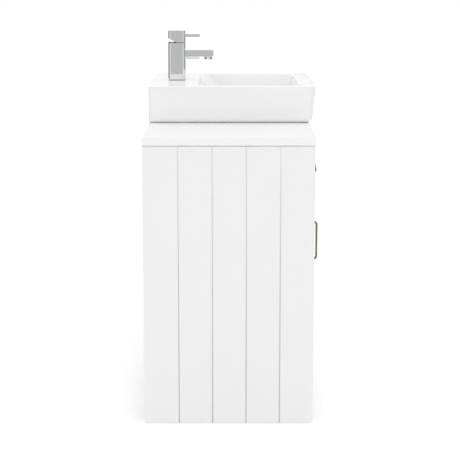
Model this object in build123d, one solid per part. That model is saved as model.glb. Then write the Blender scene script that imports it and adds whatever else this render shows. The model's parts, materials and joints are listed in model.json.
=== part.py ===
from build123d import *
import math
import os

# Carcass boards
carcass_width = 1000.0
carcass_depth = 448.0
carcass_height = 750.0
board = 18.0
back_board = 9.0
edge_round = 1.2

# Planked outer faces, grooves counted from the front edge
plank_pitch = 88.85
side_groove_count = 4
groove_width = 4.4
groove_depth = 2.6

# Face frame and plinth
top_rail_height = 22.0
drawer_opening_height = 153.0
mid_rail_height = 25.0
bottom_rail_height = 27.0
base_top = 85.0
stile_width = 30.0
plinth_setback = 45.0
deck_drop = 4.0
back_rail_height = 110.0
wall_hole_radius = 4.0
wall_hole_spacing = 600.0
service_opening_width = 200.0
service_opening_height = 130.0
service_opening_drop = 20.0
deck_notch_margin = 20.0

# Worktop
worktop_thickness = 21.0
worktop_overhang_front = 2.0
worktop_overhang_side = 3.0
worktop_waste_radius = 45.0
worktop_tails_radius = 27.0

# Shelves and their pins
shelf_above_base = 220.0
shelf_side_gap = 0.5
shelf_front_setback = 30.0
shelf_pin_radius = 2.5
shelf_pin_bite = 9.0
shelf_pin_reach = 9.0
shelf_pin_inset = 60.0

# Doors
door_count = 3
door_gap = 2.5
door_frame_width = 52.0
door_bevel = 4.0
panel_recess = 5.0
panel_thickness = 9.0
panel_tongue = 8.0
panel_slack = 0.3
door_groove_count = 2

# Door pivots
pivot_radius = 2.5
pivot_clearance = 0.05
pivot_from_edge = 12.0
pivot_from_face = 7.0
pivot_rail_bite = 14.0
pivot_end_gap = 1.0
bush_radius = 4.5
bush_length = 13.0
bush_flange_radius = 5.5
thrust_gap = 0.3

# Door catches
catch_width = 30.0
catch_depth = 14.0
catch_from_edge = 40.0
strike_width = 24.0
strike_height = 12.0
strike_thickness = 1.5
catch_gap = 0.3

# Straight-sided D handles
d_handle_centres = 128.0
d_handle_projection = 27.8
d_handle_bar = 5.5
d_handle_width = 9.0
d_handle_chamfer = 20.0
d_handle_foot_radius = 5.5
d_handle_foot_height = 6.0
d_handle_from_edge = 25.0
d_handle_below_door_top = 112.1

# Cup handles
cup_half_width = 47.5
cup_projection = 26.0
cup_height = 45.0
cup_wall = 2.2
cup_lip_above_front_edge = 51.5
cup_spacing = 334.0
cup_post_radius = 5.0
cup_post_spacing = 64.0
cup_post_rise = 16.0

# Screws that hold the handles from behind
screw_radius = 1.95
screw_hole_radius = 2.0
screw_head_radius = 3.8
screw_head_height = 2.4
screw_bite = 4.5
screw_end_gap = 0.5

# Drawer box and its runners
drawer_travel = 300.0
drawer_rear_clearance = 32.0
drawer_box_height = 110.0
drawer_box_lift = 10.0
drawer_board = 12.0
drawer_base_thickness = 6.0
drawer_base_lift = 3.0
drawer_well_half_width = 120.0
drawer_well_front = 110.0
runner_space = 12.7
runner_height = 45.0
runner_end_gap = 2.5
runner_steel = 1.5
runner_reach = 8.0
runner_clearance = 0.3

# Basin
basin_width = 440.0
basin_depth = 467.0
basin_height = 103.0
basin_draft = 9.0
basin_foot_height = 6.0
basin_foot_inset = 16.0
basin_corner_radius = 14.0
basin_rim_round = 4.0
basin_wall = 11.0
tap_ledge = 136.0
front_rim = 45.0
side_rim = 32.0
bowl_depth = 78.0
bowl_back_slope = 80.0
bowl_front_slope = 24.0
bowl_side_slope = 34.0
bowl_corner_radius = 30.0
bowl_floor_round = 14.0
hollow_inset = 14.0
hollow_ledge = 14.0

# Overflow ring on the back slope of the bowl and the duct behind it
overflow_drop = 13.0
overflow_ring_radius = 15.0
overflow_hole_radius = 11.0
overflow_bore_radius = 9.0
overflow_proud = 1.6
overflow_tail = 8.0
duct_height = 10.0
duct_half_width = 9.0
duct_wall = 6.0

# Basin waste
waste_from_wall = 290.0
waste_hole_radius = 23.0
waste_tube_radius = 21.0
waste_tube_wall = 3.5
waste_tube_length = 92.0
waste_flange_radius = 32.0
waste_flange_thickness = 3.0
waste_flange_round = 1.8
waste_seal_thickness = 1.5
waste_seal_setback = 1.0
waste_boss_wall = 7.0
waste_washer_thickness = 3.0
waste_washer_radius = 33.0
waste_nut_height = 12.0
waste_nut_across = 66.0
waste_groove_gap = 1.0
waste_groove_width = 2.0
waste_groove_depth = 1.0
waste_guide_drop = 38.0
waste_guide_height = 8.0
waste_guide_radius = 6.0
waste_guide_bridge = 4.0
plug_radius = 29.0
plug_crown = 4.0
plug_edge = 1.2
plug_stem_end = 3.0
plug_stem_radius = 3.0
plug_gap = 0.3
plug_lift = 10.0
stem_clearance = 0.06

# Tap
tap_from_wall = 71.8
tap_side = 50.0
tap_corner_radius = 4.0
tap_body_height = 107.0
tap_seal_thickness = 1.0
tap_seal_setback = 2.0
tap_hole_radius = 17.5
shank_radius = 16.0
shank_wall = 3.0
shank_bite = 6.0
shank_length = 60.0
tap_washer_thickness = 3.0
tap_washer_radius = 25.0
tap_nut_height = 9.0
tap_nut_across = 46.0
inlet_radius = 4.4
inlet_spacing = 13.0

# Spout and aerator
spout_reach = 82.4
spout_height = 20.0
spout_half_width = 18.0
spout_top_drop = 20.0
keel_length = 42.0
keel_depth = 8.5
keel_half_width = 11.0
keel_slope = 3.4
keel_margin = 1.0
waterway_radius = 6.0
aerator_radius = 12.0
aerator_drop = 9.0
aerator_from_tip = 15.4
aerator_bore_radius = 9.0
aerator_neck_radius = 10.0
aerator_neck = 8.0
aerator_round = 0.8
aerator_screen = 1.5

# Cartridge and lever
cartridge_radius = 17.0
cartridge_height = 40.0
cartridge_nut_height = 4.5
cartridge_nut_radius = 19.0
cartridge_nut_drop = 2.0
cartridge_nut_bevel = 1.0
turret_radius = 11.0
turret_depth = 12.0
turret_rise = 2.0
swivel_clearance = 0.05
lift_pivot_drop = 2.0
lift_pin_radius = 1.5
stem_side = 8.0
stem_below_pivot = 4.5
stem_slot_gap = 0.1
stem_floor_gap = 0.3
lift_pin_inset = 0.6
head_gap = 6.0
head_height = 31.0
head_notch = 8.0
stem_in_head = 20.0
lever_reach = 42.5
lever_height = 9.6
lever_half_width = 7.0
lever_drop = 11.0
lever_tenon_radius = 3.5
lever_tenon = 10.0

# Levels and planes that the pieces share
front_reach = max(d_handle_projection, cup_projection, basin_depth - carcass_depth)
overall_depth = carcass_depth + front_reach
y_wall = overall_depth / 2
y_face = y_wall - carcass_depth
y_inner = y_face + board
y_back = y_wall - back_board
x_side = carcass_width / 2
x_inner = x_side - board
z_worktop = carcass_height + worktop_thickness
z_drawer_top = carcass_height - top_rail_height
z_drawer_low = z_drawer_top - drawer_opening_height
z_door_top = z_drawer_low - mid_rail_height
z_d_handle = z_door_top - door_gap - d_handle_below_door_top
z_cup_lip = z_drawer_low + door_gap + cup_lip_above_front_edge
shelf_underside = base_top + shelf_above_base
z_deck = z_drawer_low - deck_drop
z_rim = z_worktop + basin_height
z_bowl = z_rim - bowl_depth
opening_width = (2 * x_inner - (door_count - 1) * stile_width) / door_count
x_stile = opening_width / 2 + stile_width / 2
x_bay = opening_width + stile_width
y_tap = y_wall - tap_from_wall
y_waste = y_wall - waste_from_wall
hollow_top = z_rim - hollow_ledge
hidden = 1.0


def block(x, y, z):
    """Box between the low and high value of each of the three pairs."""
    size = [high - low for low, high in (x, y, z)]
    middle = [(low + high) / 2 for low, high in (x, y, z)]
    return Pos(*middle) * Box(*size)


def upright(x, y, z, radius):
    """Vertical cylinder between the two heights in z."""
    return Pos(x, y, (z[0] + z[1]) / 2) * Cylinder(radius, z[1] - z[0])


def across(x, y, z, radius):
    """Cylinder along X between the two places in x."""
    return Pos((x[0] + x[1]) / 2, y, z) * Rot(0, 90, 0) * Cylinder(radius, x[1] - x[0])


def inward(x, y, z, radius):
    """Cylinder along Y between the two places in y."""
    return Pos(x, (y[0] + y[1]) / 2, z) * Rot(90, 0, 0) * Cylinder(radius, y[1] - y[0])


def side_prism(points, x):
    """Outline in Y and Z, carried along X between the two places in x."""
    face = make_face(Polyline(*points, close=True))
    return Pos(x[0], 0, 0) * extrude(Plane.YZ * face, amount=x[1] - x[0])


def plan_prism(points, z):
    """Outline in X and Y, carried up between the two heights in z."""
    face = make_face(Polyline(*points, close=True))
    return Pos(0, 0, z[0]) * extrude(face, amount=z[1] - z[0])


def hexagon(x, y, z, width_across):
    """Vertical hexagonal prism with the given width across its flats."""
    flat = RegularPolygon(width_across / 2, 6, major_radius=False)
    return Pos(x, y, z[0]) * extrude(flat, amount=z[1] - z[0])


def group(*shapes):
    """Several separate solids that share one node."""
    return Compound([solid for shape in shapes for solid in shape.solids()])


def both_sides(shape):
    """A shape and its mirror image in the middle plane."""
    return group(shape, mirror(shape, about=Plane.YZ))


def soften(shape, keep, radius):
    """Round the edges whose middle passes the test."""
    return fillet(shape.edges().filter_by(lambda edge: keep(edge.center())), radius)


def v_groove(x_centre, y_front, z):
    """Upright V cut that opens towards the front."""
    half = groove_width / 2
    points = [(x_centre - half, y_front), (x_centre + half, y_front), (x_centre, y_front + groove_depth)]
    return plan_prism(points, z)


def side_panel(side):
    """Planked side board; side is -1 for the left one and 1 for the right one."""
    outer = side * x_side
    inner = side * x_inner
    panel = block(sorted((outer, inner)), (y_face, y_wall), (0, carcass_height))
    half_height = carcass_height / 2
    panel = soften(panel, lambda at: abs(at.Y - y_face) < 0.1 and abs(at.Z - half_height) < 0.1, edge_round)
    half = groove_width / 2
    for index in range(1, side_groove_count + 1):
        y = y_face + index * plank_pitch
        points = [(outer, y - half), (outer, y + half), (outer - side * groove_depth, y)]
        panel -= plan_prism(points, (0, carcass_height))
    return drilled_for_shelf_pins(panel, sorted((inner, inner + side * shelf_pin_bite)))


def drilled_for_shelf_pins(panel, x):
    """A board with the two blind holes for shelf pins, between the two places in x."""
    for y in shelf_pin_places():
        panel -= across(x, y, shelf_pin_level(), shelf_pin_radius)
    return panel


def shelf_pin_level():
    """Height of the shelf pins' axes."""
    return shelf_underside - shelf_pin_radius


def shelf_pin_places():
    """Places of the front and back shelf pins along Y."""
    return (y_inner + shelf_front_setback + shelf_pin_inset, y_back - shelf_pin_inset)


def partition(side):
    """Upright board behind a face frame stile."""
    x = side * x_stile
    panel = block((x - board / 2, x + board / 2), (y_inner, y_back), (base_top, z_deck - board))
    outer = x + side * board / 2
    return drilled_for_shelf_pins(panel, sorted((outer - side * shelf_pin_bite, outer)))


def shelf_pins():
    """Eight pins, four under each shelf."""
    pins = []
    partition_face = x_stile + board / 2
    for y in shelf_pin_places():
        for x in ((x_inner - shelf_pin_reach, x_inner + shelf_pin_bite),
                  (partition_face - shelf_pin_bite, partition_face + shelf_pin_reach)):
            pins.append(across(x, y, shelf_pin_level(), shelf_pin_radius))
    return both_sides(group(*pins))


def shelf():
    """Right shelf; the left one is its mirror image."""
    x = (x_stile + board / 2 + shelf_side_gap, x_inner - shelf_side_gap)
    y = (y_inner + shelf_front_setback, y_back - shelf_side_gap)
    return block(x, y, (shelf_underside, shelf_underside + board))


def back_panel():
    """Thin back with a service opening behind the middle bay."""
    panel = block((-x_inner, x_inner), (y_back, y_wall), (base_top - board, z_deck))
    half = service_opening_width / 2
    top = z_deck - board - service_opening_drop
    z = (top - service_opening_height, top)
    return panel - block((-half, half), (y_back - hidden, y_wall + hidden), z)


def back_rail():
    """Board behind the drawer with two holes for wall screws."""
    z = (carcass_height - back_rail_height, carcass_height)
    fixing = block((-x_inner, x_inner), (y_wall - board, y_wall), z)
    for side in (-1, 1):
        x = side * wall_hole_spacing / 2
        y = (y_wall - board - hidden, y_wall + hidden)
        fixing -= inward(x, y, sum(z) / 2, wall_hole_radius)
    return fixing


def deck_panel():
    """Board under the drawer, notched at the back for the waste pipe."""
    panel = block((-x_inner, x_inner), (y_inner, y_back), (z_deck - board, z_deck))
    reach = y_waste - worktop_waste_radius - deck_notch_margin
    half = drawer_well_half_width - drawer_board
    return panel - block((-half, half), (reach, y_back + hidden), (z_deck - board - hidden, z_deck + hidden))


def rail(low, high):
    """Face frame rail between the side panels."""
    return block((-x_inner, x_inner), (y_face, y_inner), (low, high))


def door_centres():
    """Middle of each door opening along X, from left to right."""
    return [(index - (door_count - 1) / 2) * x_bay for index in range(door_count)]


def hinge_sides():
    """Side on which each door turns: the outer doors at the side panels, the middle one at its left."""
    return [-1] + [-1] * (door_count - 2) + [1]


def door_half_width():
    return opening_width / 2 - door_gap


def door_levels():
    return (base_top + door_gap, z_door_top - door_gap)


def pivot_x(centre, side):
    return centre + side * (door_half_width() - pivot_from_edge)


def pivot_y():
    return y_face + pivot_from_face


def pivot_pins():
    """Steel pins in the rails, two for each door."""
    low, high = door_levels()
    reach = bush_length - pivot_end_gap
    pins = []
    for centre, side in zip(door_centres(), hinge_sides()):
        x = pivot_x(centre, side)
        pins.append(upright(x, pivot_y(), (base_top - pivot_rail_bite, low + reach), pivot_radius))
        pins.append(upright(x, pivot_y(), (high - reach, z_door_top + pivot_rail_bite), pivot_radius))
    return group(*pins)


def drilled_for_pivots(shape, z):
    """A rail with the blind holes that hold the pivot pins."""
    for centre, side in zip(door_centres(), hinge_sides()):
        shape -= upright(pivot_x(centre, side), pivot_y(), z, pivot_radius)
    return shape


def door_bushes(centre, side):
    """Flanged bushes in the top and bottom edge of a door."""
    low, high = door_levels()
    x = pivot_x(centre, side)
    flange = door_gap - thrust_gap
    bushes = []
    for edge, inwards in ((low, 1), (high, -1)):
        sleeve = upright(x, pivot_y(), sorted((edge, edge + inwards * bush_length)), bush_radius)
        collar = upright(x, pivot_y(), sorted((edge - inwards * flange, edge)), bush_flange_radius)
        span = sorted((edge - inwards * (flange + hidden), edge + inwards * (bush_length + hidden)))
        bushes.append(sleeve + collar - upright(x, pivot_y(), span, pivot_radius + pivot_clearance))
    return group(*bushes)


def door_panel_span(centre, slack):
    """Box of the panel inside its frame, with slack at its edges."""
    low, high = door_levels()
    half = door_half_width() - door_frame_width + panel_tongue + slack
    edge = door_frame_width - panel_tongue - slack
    y = (y_face + panel_recess, y_face + panel_recess + panel_thickness)
    return block((centre - half, centre + half), y, (low + edge, high - edge))


def door_panel(centre):
    """Planked panel of a door."""
    low, high = door_levels()
    panel = door_panel_span(centre, 0)
    width = 2 * (door_half_width() - door_frame_width)
    pitch = width / (door_groove_count + 1)
    for index in range(door_groove_count):
        x = centre + (index - (door_groove_count - 1) / 2) * pitch
        panel -= v_groove(x, y_face + panel_recess, (low, high))
    return panel


def door_handle_x(centre, side):
    return centre - side * (door_half_width() - d_handle_from_edge)


def door_frame(centre, side):
    """Door frame with a bevelled inner edge, a slot for its panel and holes for bushes and screws."""
    low, high = door_levels()
    half = door_half_width()
    inner = half - door_frame_width
    middle = (low + high) / 2
    reach = (high - low) / 2 - door_frame_width
    frame = block((centre - half, centre + half), (y_face, y_inner), (low, high))
    frame = soften(frame, lambda at: abs(at.Y - y_face) < 0.1, edge_round)
    frame -= block((centre - inner, centre + inner), (y_face - hidden, y_inner + hidden),
                   (middle - reach, middle + reach))
    lip = frame.edges().filter_by(
        lambda edge: abs(edge.center().Y - y_face) < 0.1
        and abs(edge.center().X - centre) < inner + 0.1
        and abs(edge.center().Z - middle) < reach + 0.1
    )
    frame = chamfer(lip, door_bevel)
    frame -= door_panel_span(centre, panel_slack)
    x = pivot_x(centre, side)
    frame -= upright(x, pivot_y(), (low - hidden, low + bush_length), bush_radius)
    frame -= upright(x, pivot_y(), (high - bush_length, high + hidden), bush_radius)
    x = door_handle_x(centre, side)
    for z in handle_screw_levels():
        frame -= inward(x, (y_face - hidden, y_inner + hidden), z, screw_hole_radius)
    return frame


def handle_screw_levels():
    return [z_d_handle + sign * d_handle_centres / 2 for sign in (-1, 1)]


def screw(x, z, back):
    """Pan-head screw from the plane at back into a handle on the front."""
    shank = inward(x, (y_face - screw_bite, back), z, screw_radius)
    return shank + inward(x, (back, back + screw_head_height), z, screw_head_radius)


def d_handle(x):
    """Flat bar bent into a D with two slanted corners, on round feet."""
    outer = d_handle_centres / 2 + d_handle_bar / 2
    knee = d_handle_projection - d_handle_chamfer
    slant = d_handle_bar * (math.sqrt(2) - 1)
    thin = d_handle_bar

    half = d_handle_width / 2

    def outline(height, low, turn, reach):
        upper = [(low, height), (turn, height), (reach, height - (reach - turn))]
        points = upper + [(out, -z) for out, z in reversed(upper)]
        return [(y_face - out, z_d_handle + z) for out, z in points]

    bar = side_prism(outline(outer, 0, knee, d_handle_projection), (x - half, x + half))
    inner = outline(outer - thin, -hidden, knee - slant, d_handle_projection - thin)
    bar -= side_prism(inner, (x - d_handle_width, x + d_handle_width))
    bar = soften(bar, lambda at: at.Y < y_face - 0.1 and abs(abs(at.X - x) - half) < 0.1, edge_round)
    for z in handle_screw_levels():
        bar += inward(x, (y_face - d_handle_foot_height, y_face), z, d_handle_foot_radius)
        bar -= inward(x, (y_face - screw_bite - screw_end_gap, y_face + hidden), z, screw_hole_radius)
    return bar


def door_fixings(centre, side):
    """Two handle screws and the strike plate on the back of a door."""
    x = door_handle_x(centre, side)
    screws = [screw(x, z, y_inner) for z in handle_screw_levels()]
    high = door_levels()[1]
    x_plate = catch_x(centre, side)
    plate = block((x_plate - strike_width / 2, x_plate + strike_width / 2),
                  (y_inner, y_inner + strike_thickness), (high - strike_height, high))
    return group(plate, *screws)


def catch_x(centre, side):
    return centre - side * (door_half_width() - catch_from_edge)


def magnetic_catches():
    """Catch bodies under the deck, one behind the free edge of each door."""
    catches = []
    y = y_inner + strike_thickness + catch_gap
    high = door_levels()[1]
    for centre, side in zip(door_centres(), hinge_sides()):
        x = catch_x(centre, side)
        catches.append(block((x - catch_width / 2, x + catch_width / 2), (y, y + catch_depth),
                             (high - strike_height, z_deck - board)))
    return group(*catches)


def drawer_levels():
    """Lower and upper edge of the drawer box."""
    low = z_drawer_low + drawer_box_lift
    return (low, low + drawer_box_height)


def drawer_x():
    return x_inner - runner_space


def cup_places():
    return [-cup_spacing / 2, cup_spacing / 2]


def cup_screw_places():
    z = z_cup_lip + cup_post_rise
    return [(x + sign * cup_post_spacing / 2, z) for x in cup_places() for sign in (-1, 1)]


def drawer_front():
    """Inset drawer front with its screw holes."""
    x = x_inner - door_gap
    front = block((-x, x), (y_face, y_inner), (z_drawer_low + door_gap, z_drawer_top - door_gap))
    front = soften(front, lambda at: abs(at.Y - y_face) < 0.1, edge_round)
    for x, z in cup_screw_places():
        front -= inward(x, (y_face - hidden, y_inner + hidden), z, screw_hole_radius)
    return front


def drawer_back_y():
    """Rear of the drawer box, clear of the wall fixing rail."""
    return y_wall - board - drawer_rear_clearance


def drawer_side():
    """Right side of the drawer box; the left one is its mirror image."""
    x = drawer_x()
    return block((x - drawer_board, x), (y_inner, drawer_back_y()), drawer_levels())


def drawer_inside_z():
    low, high = drawer_levels()
    return (low + drawer_base_lift + drawer_base_thickness, high)


def drawer_rear():
    """Two back boards and the three boards round the well for the waste."""
    z = drawer_inside_z()
    well = drawer_well_half_width
    outer = well + drawer_board
    y_well = y_face + drawer_well_front
    back = block((outer, drawer_x() - drawer_board), (drawer_back_y() - drawer_board, drawer_back_y()), z)
    cheek = block((well, outer), (y_well, drawer_back_y()), z)
    front = block((-well, well), (y_well, y_well + drawer_board), z)
    return group(both_sides(back), both_sides(cheek), front)


def drawer_base():
    """Thin base with the well cut out of its back edge."""
    x = drawer_x() - drawer_board
    low = drawer_levels()[0] + drawer_base_lift
    z = (low, low + drawer_base_thickness)
    base = block((-x, x), (y_inner, drawer_back_y()), z)
    well = drawer_well_half_width
    y = (y_face + drawer_well_front + drawer_board, drawer_back_y() + hidden)
    return base - block((-well, well), y, (z[0] - hidden, z[1] + hidden))


def runner_depth():
    """Front and rear end of the runners, just short of the drawer box's ends."""
    return (y_inner + runner_end_gap, drawer_back_y() - runner_end_gap)


def runner_middle():
    low, high = drawer_levels()
    return (low + high) / 2


def channel(x_web, x_tip, half_height, y):
    """Steel channel with its web at x_web and its flanges reaching to x_tip."""
    middle = runner_middle()
    toward = 1 if x_tip > x_web else -1
    z = (middle - half_height, middle + half_height)
    whole = block(sorted((x_web, x_tip)), y, z)
    inside = (z[0] + runner_steel, z[1] - runner_steel)
    return whole - block(sorted((x_web + toward * runner_steel, x_tip + toward * hidden)),
                         (y[0] - hidden, y[1] + hidden), inside)


def runner_rail():
    """Right fixed runner, open towards the drawer."""
    return channel(x_inner, x_inner - runner_reach, runner_height / 2, runner_depth())


def runner_slide():
    """Right moving runner, nested in the fixed one."""
    half = runner_height / 2 - runner_steel - runner_clearance
    return channel(drawer_x(), drawer_x() + runner_reach, half, runner_depth())


def ellipsoid(x, y, z):
    return scale(Sphere(1.0), by=(x, y, z))


def cup_handle(x):
    """Quarter of a hollow ellipsoid, open below, with two posts for its screws."""
    at = Pos(x, y_face, z_cup_lip)
    outer = ellipsoid(cup_half_width, cup_projection, cup_height)
    inner = ellipsoid(cup_half_width - cup_wall, cup_projection - cup_wall, cup_height - cup_wall)
    quarter = block((-cup_half_width - hidden, cup_half_width + hidden), (-cup_projection - hidden, 0),
                    (0, cup_height + hidden))
    hood = at * ((outer - inner) & quarter)
    solid = at * (outer & quarter)
    for x_post, z_post in cup_screw_places():
        if abs(x_post - x) < cup_half_width:
            hood += inward(x_post, (y_face - cup_projection, y_face), z_post, cup_post_radius) & solid
            y = (y_face - screw_bite - screw_end_gap, y_face + hidden)
            hood -= inward(x_post, y, z_post, screw_hole_radius)
    return hood


def worktop():
    """Worktop with holes for the waste and the tap's tails."""
    x = x_side + worktop_overhang_side
    top = block((-x, x), (y_face - worktop_overhang_front, y_wall), (carcass_height, z_worktop))
    top = soften(top, lambda at: at.Y < y_wall - 0.1, edge_round)
    z = (carcass_height - hidden, z_worktop + hidden)
    top -= upright(0, y_waste, z, worktop_waste_radius)
    return top - upright(0, y_tap, z, worktop_tails_radius)


def section(x_half, y, radius, z):
    """Rounded rectangle across the middle plane, between the two places in y."""
    return (Pos(0, (y[0] + y[1]) / 2, z) * RectangleRounded(2 * x_half, y[1] - y[0], radius)).face()


def bowl(grow):
    """Space of the bowl, or with grow its outer wall."""
    x_top = basin_width / 2 - side_rim + grow
    y_top = (y_wall - basin_depth + front_rim - grow, y_wall - tap_ledge + grow)
    y_low = (y_top[0] + bowl_front_slope, y_top[1] - bowl_back_slope)
    radius = bowl_corner_radius + grow
    low = z_bowl - grow
    shape = loft([section(x_top - bowl_side_slope, y_low, radius, low), section(x_top, y_top, radius, z_rim)],
                 ruled=True)
    return soften(shape, lambda at: abs(at.Z - low) < 0.1, bowl_floor_round)


def slope_point(along, behind):
    """Point in Y and Z on the bowl's back slope, measured down it and square to it."""
    length = math.hypot(bowl_back_slope, bowl_depth)
    down = bowl_depth / length
    forward = bowl_back_slope / length
    y = y_wall - tap_ledge - along * forward + behind * down
    return (y, z_rim - along * down - behind * forward)


def duct_outline(near, far, above, bottom):
    """Outline of the overflow duct: down behind the slope, then forward under the bowl's floor."""
    reach = y_waste + waste_tube_radius
    floor = z_bowl - near
    length = math.hypot(bowl_back_slope, bowl_depth)
    along_near = (z_rim - floor) * length / bowl_depth - near * bowl_back_slope / bowl_depth
    along_far = (z_rim - bottom) * length / bowl_depth - far * bowl_back_slope / bowl_depth
    return [slope_point(above, near), slope_point(above, far), slope_point(along_far, far),
            (reach, bottom), (reach, floor), slope_point(along_near, near)]


def overflow_place():
    """Transform to the overflow's centre on the slope, its local +Z out of the wall."""
    length = math.hypot(bowl_back_slope, bowl_depth)
    y, z = slope_point(overflow_drop * length / bowl_depth, 0)
    lean = math.degrees(math.atan2(bowl_depth, bowl_back_slope))
    return Pos(0, y, z) * Rot(lean, 0, 0)


def basin():
    """Basin with a drafted outside, a hollow underside, a tap hole, an overflow duct and a waste hole."""
    half = basin_width / 2
    y_front = y_wall - basin_depth
    inset = basin_draft + basin_foot_inset
    levels = [
        section(half - inset, (y_front + inset, y_wall), basin_corner_radius, z_worktop),
        section(half - basin_draft, (y_front + basin_draft, y_wall), basin_corner_radius,
                z_worktop + basin_foot_height),
        section(half, (y_front, y_wall), basin_corner_radius, z_rim),
    ]
    body = loft(levels, ruled=True)
    body = soften(body, lambda at: abs(at.Z - z_rim) < 0.1, basin_rim_round)
    edge = inset + hollow_inset
    z = (z_worktop - hidden, hollow_top)
    hollow = block((edge - half, half - edge), (y_front + edge, y_wall - hollow_inset), z)
    hollow -= bowl(basin_wall)
    wide = duct_half_width + duct_wall
    skin = basin_wall + duct_height
    bottom = z_bowl - skin
    hollow -= side_prism(duct_outline(basin_wall / 2, skin + duct_wall, 0, z_worktop), (-wide, wide))
    hollow -= upright(0, y_waste, (z_worktop, z_bowl), waste_hole_radius + waste_boss_wall)
    body -= bowl(0)
    body -= hollow
    duct = duct_outline(basin_wall, skin, overflow_drop / 2, bottom)
    body -= side_prism(duct, (-duct_half_width, duct_half_width))
    body -= upright(0, y_waste, (z_worktop - hidden, z_bowl + hidden), waste_hole_radius)
    body -= upright(0, y_tap, (hollow_top - hidden, z_rim + hidden), tap_hole_radius)
    length = basin_wall + duct_height / 2 + 2 * hidden
    hole = Pos(0, 0, 2 * hidden - length / 2) * Cylinder(overflow_hole_radius, length)
    return body - overflow_place() * hole


def overflow_ring():
    """Ring with a round lip and a tail in the overflow hole."""
    lip = Pos(0, 0, overflow_proud / 2) * Cylinder(overflow_ring_radius, overflow_proud)
    lip = fillet(lip.edges().group_by(Axis.Z)[-1], overflow_proud / 2)
    tail = Pos(0, 0, -overflow_tail / 2) * Cylinder(overflow_hole_radius - swivel_clearance, overflow_tail)
    length = overflow_tail + overflow_proud + 2 * hidden
    bore = Pos(0, 0, (overflow_proud - overflow_tail) / 2) * Cylinder(overflow_bore_radius, length)
    return overflow_place() * (lip + tail - bore)


def waste_flange_levels():
    low = z_bowl + waste_seal_thickness
    return (low, low + waste_flange_thickness)


def ring(z, outer, inner, y):
    """Flat ring on the middle plane."""
    return upright(0, y, z, outer) - upright(0, y, (z[0] - hidden, z[1] + hidden), inner)


def waste_nut_levels():
    top = z_worktop - waste_washer_thickness
    return (top - waste_nut_height, top)


def waste_tail_levels():
    """Bottom of the waste's tube, and the top of the stretch that a trap is screwed to."""
    groove_top = waste_nut_levels()[0] - waste_groove_gap
    return (waste_flange_levels()[1] - waste_tube_length, groove_top - waste_groove_width)


def waste_body():
    """Flange, threaded tube with an overflow slot and a relief groove, and a guide for the plug's stem."""
    low, top = waste_flange_levels()
    bottom, groove_low = waste_tail_levels()
    bore = waste_tube_radius - waste_tube_wall
    flange = upright(0, y_waste, (low, top), waste_flange_radius)
    flange = fillet(flange.edges().group_by(Axis.Z)[-1], waste_flange_round)
    body = flange + upright(0, y_waste, (bottom, low), waste_tube_radius)
    body -= upright(0, y_waste, (bottom - hidden, top + hidden), bore)
    z = (groove_low, groove_low + waste_groove_width)
    body -= ring(z, waste_tube_radius + hidden, waste_tube_radius - waste_groove_depth, y_waste)
    slot_low = z_bowl - basin_wall - duct_height
    body -= block((-duct_half_width, duct_half_width), (y_waste, y_waste + waste_tube_radius + hidden),
                  (slot_low, slot_low + duct_height))
    guide_top = top - waste_guide_drop
    z = (guide_top - waste_guide_height, guide_top)
    half = waste_guide_bridge / 2
    bridge = block((-bore - hidden, bore + hidden), (y_waste - half, y_waste + half), z)
    body += bridge & upright(0, y_waste, z, bore + waste_tube_wall / 2)
    body += upright(0, y_waste, z, waste_guide_radius)
    return body - upright(0, y_waste, (z[0] - hidden, z[1] + hidden), plug_stem_radius + stem_clearance)


def waste_seals():
    """Seal under the flange and washer under the basin."""
    outer = waste_flange_radius - waste_seal_setback
    upper = ring((z_bowl, z_bowl + waste_seal_thickness), outer, waste_tube_radius, y_waste)
    z = (z_worktop - waste_washer_thickness, z_worktop)
    return group(upper, ring(z, waste_washer_radius, waste_tube_radius, y_waste))


def waste_nut():
    """Hexagonal nut under the washer."""
    z = waste_nut_levels()
    nut = hexagon(0, y_waste, z, waste_nut_across)
    return nut - upright(0, y_waste, (z[0] - hidden, z[1] + hidden), waste_tube_radius)


def waste_plug():
    """Crowned plug on a stem that slides in the guide."""
    low = waste_flange_levels()[1] + plug_gap
    crown_radius = (plug_radius ** 2 + plug_crown ** 2) / (2 * plug_crown)
    ball = Pos(0, y_waste, low + plug_crown - crown_radius) * Sphere(crown_radius)
    cap = upright(0, y_waste, (low, low + plug_crown), plug_radius)
    cap = cap & (ball + upright(0, y_waste, (low, low + plug_edge), plug_radius))
    bottom = waste_flange_levels()[1] - waste_guide_drop - waste_guide_height - plug_lift - plug_stem_end
    return cap + upright(0, y_waste, (bottom, low + plug_edge), plug_stem_radius)


def tap_levels():
    """Underside and top of the tap's body."""
    low = z_rim + tap_seal_thickness
    return (low, low + tap_body_height)


def square_column(side, y, z):
    """Square column on the middle plane with rounded upright edges."""
    half = side / 2
    column = block((-half, half), (y - half, y + half), z)
    return fillet(column.edges().filter_by(Axis.Z), tap_corner_radius)


def lift_axis_z():
    return tap_levels()[1] - lift_pivot_drop


def spout_levels():
    top = tap_levels()[1] - spout_top_drop
    return (top - spout_height, top)


def tap_body():
    """Square body with the cartridge bore, the waterway, the shank's socket and two inlets."""
    low, top = tap_levels()
    body = square_column(tap_side, y_tap, (low, top))
    nut_seat = top - cartridge_nut_drop
    floor = nut_seat - cartridge_height
    body -= upright(0, y_tap, (floor, top + hidden), cartridge_radius)
    body -= upright(0, y_tap, (nut_seat, top + hidden), cartridge_nut_radius)
    body -= upright(0, y_tap, (low - hidden, low + shank_bite), shank_radius)
    for side in (-1, 1):
        body -= upright(side * inlet_spacing / 2, y_tap, (low, floor + hidden), inlet_radius)
    middle = sum(spout_levels()) / 2
    return body - inward(0, (y_tap - tap_side, y_tap - cartridge_radius + hidden), middle, waterway_radius)


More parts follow.
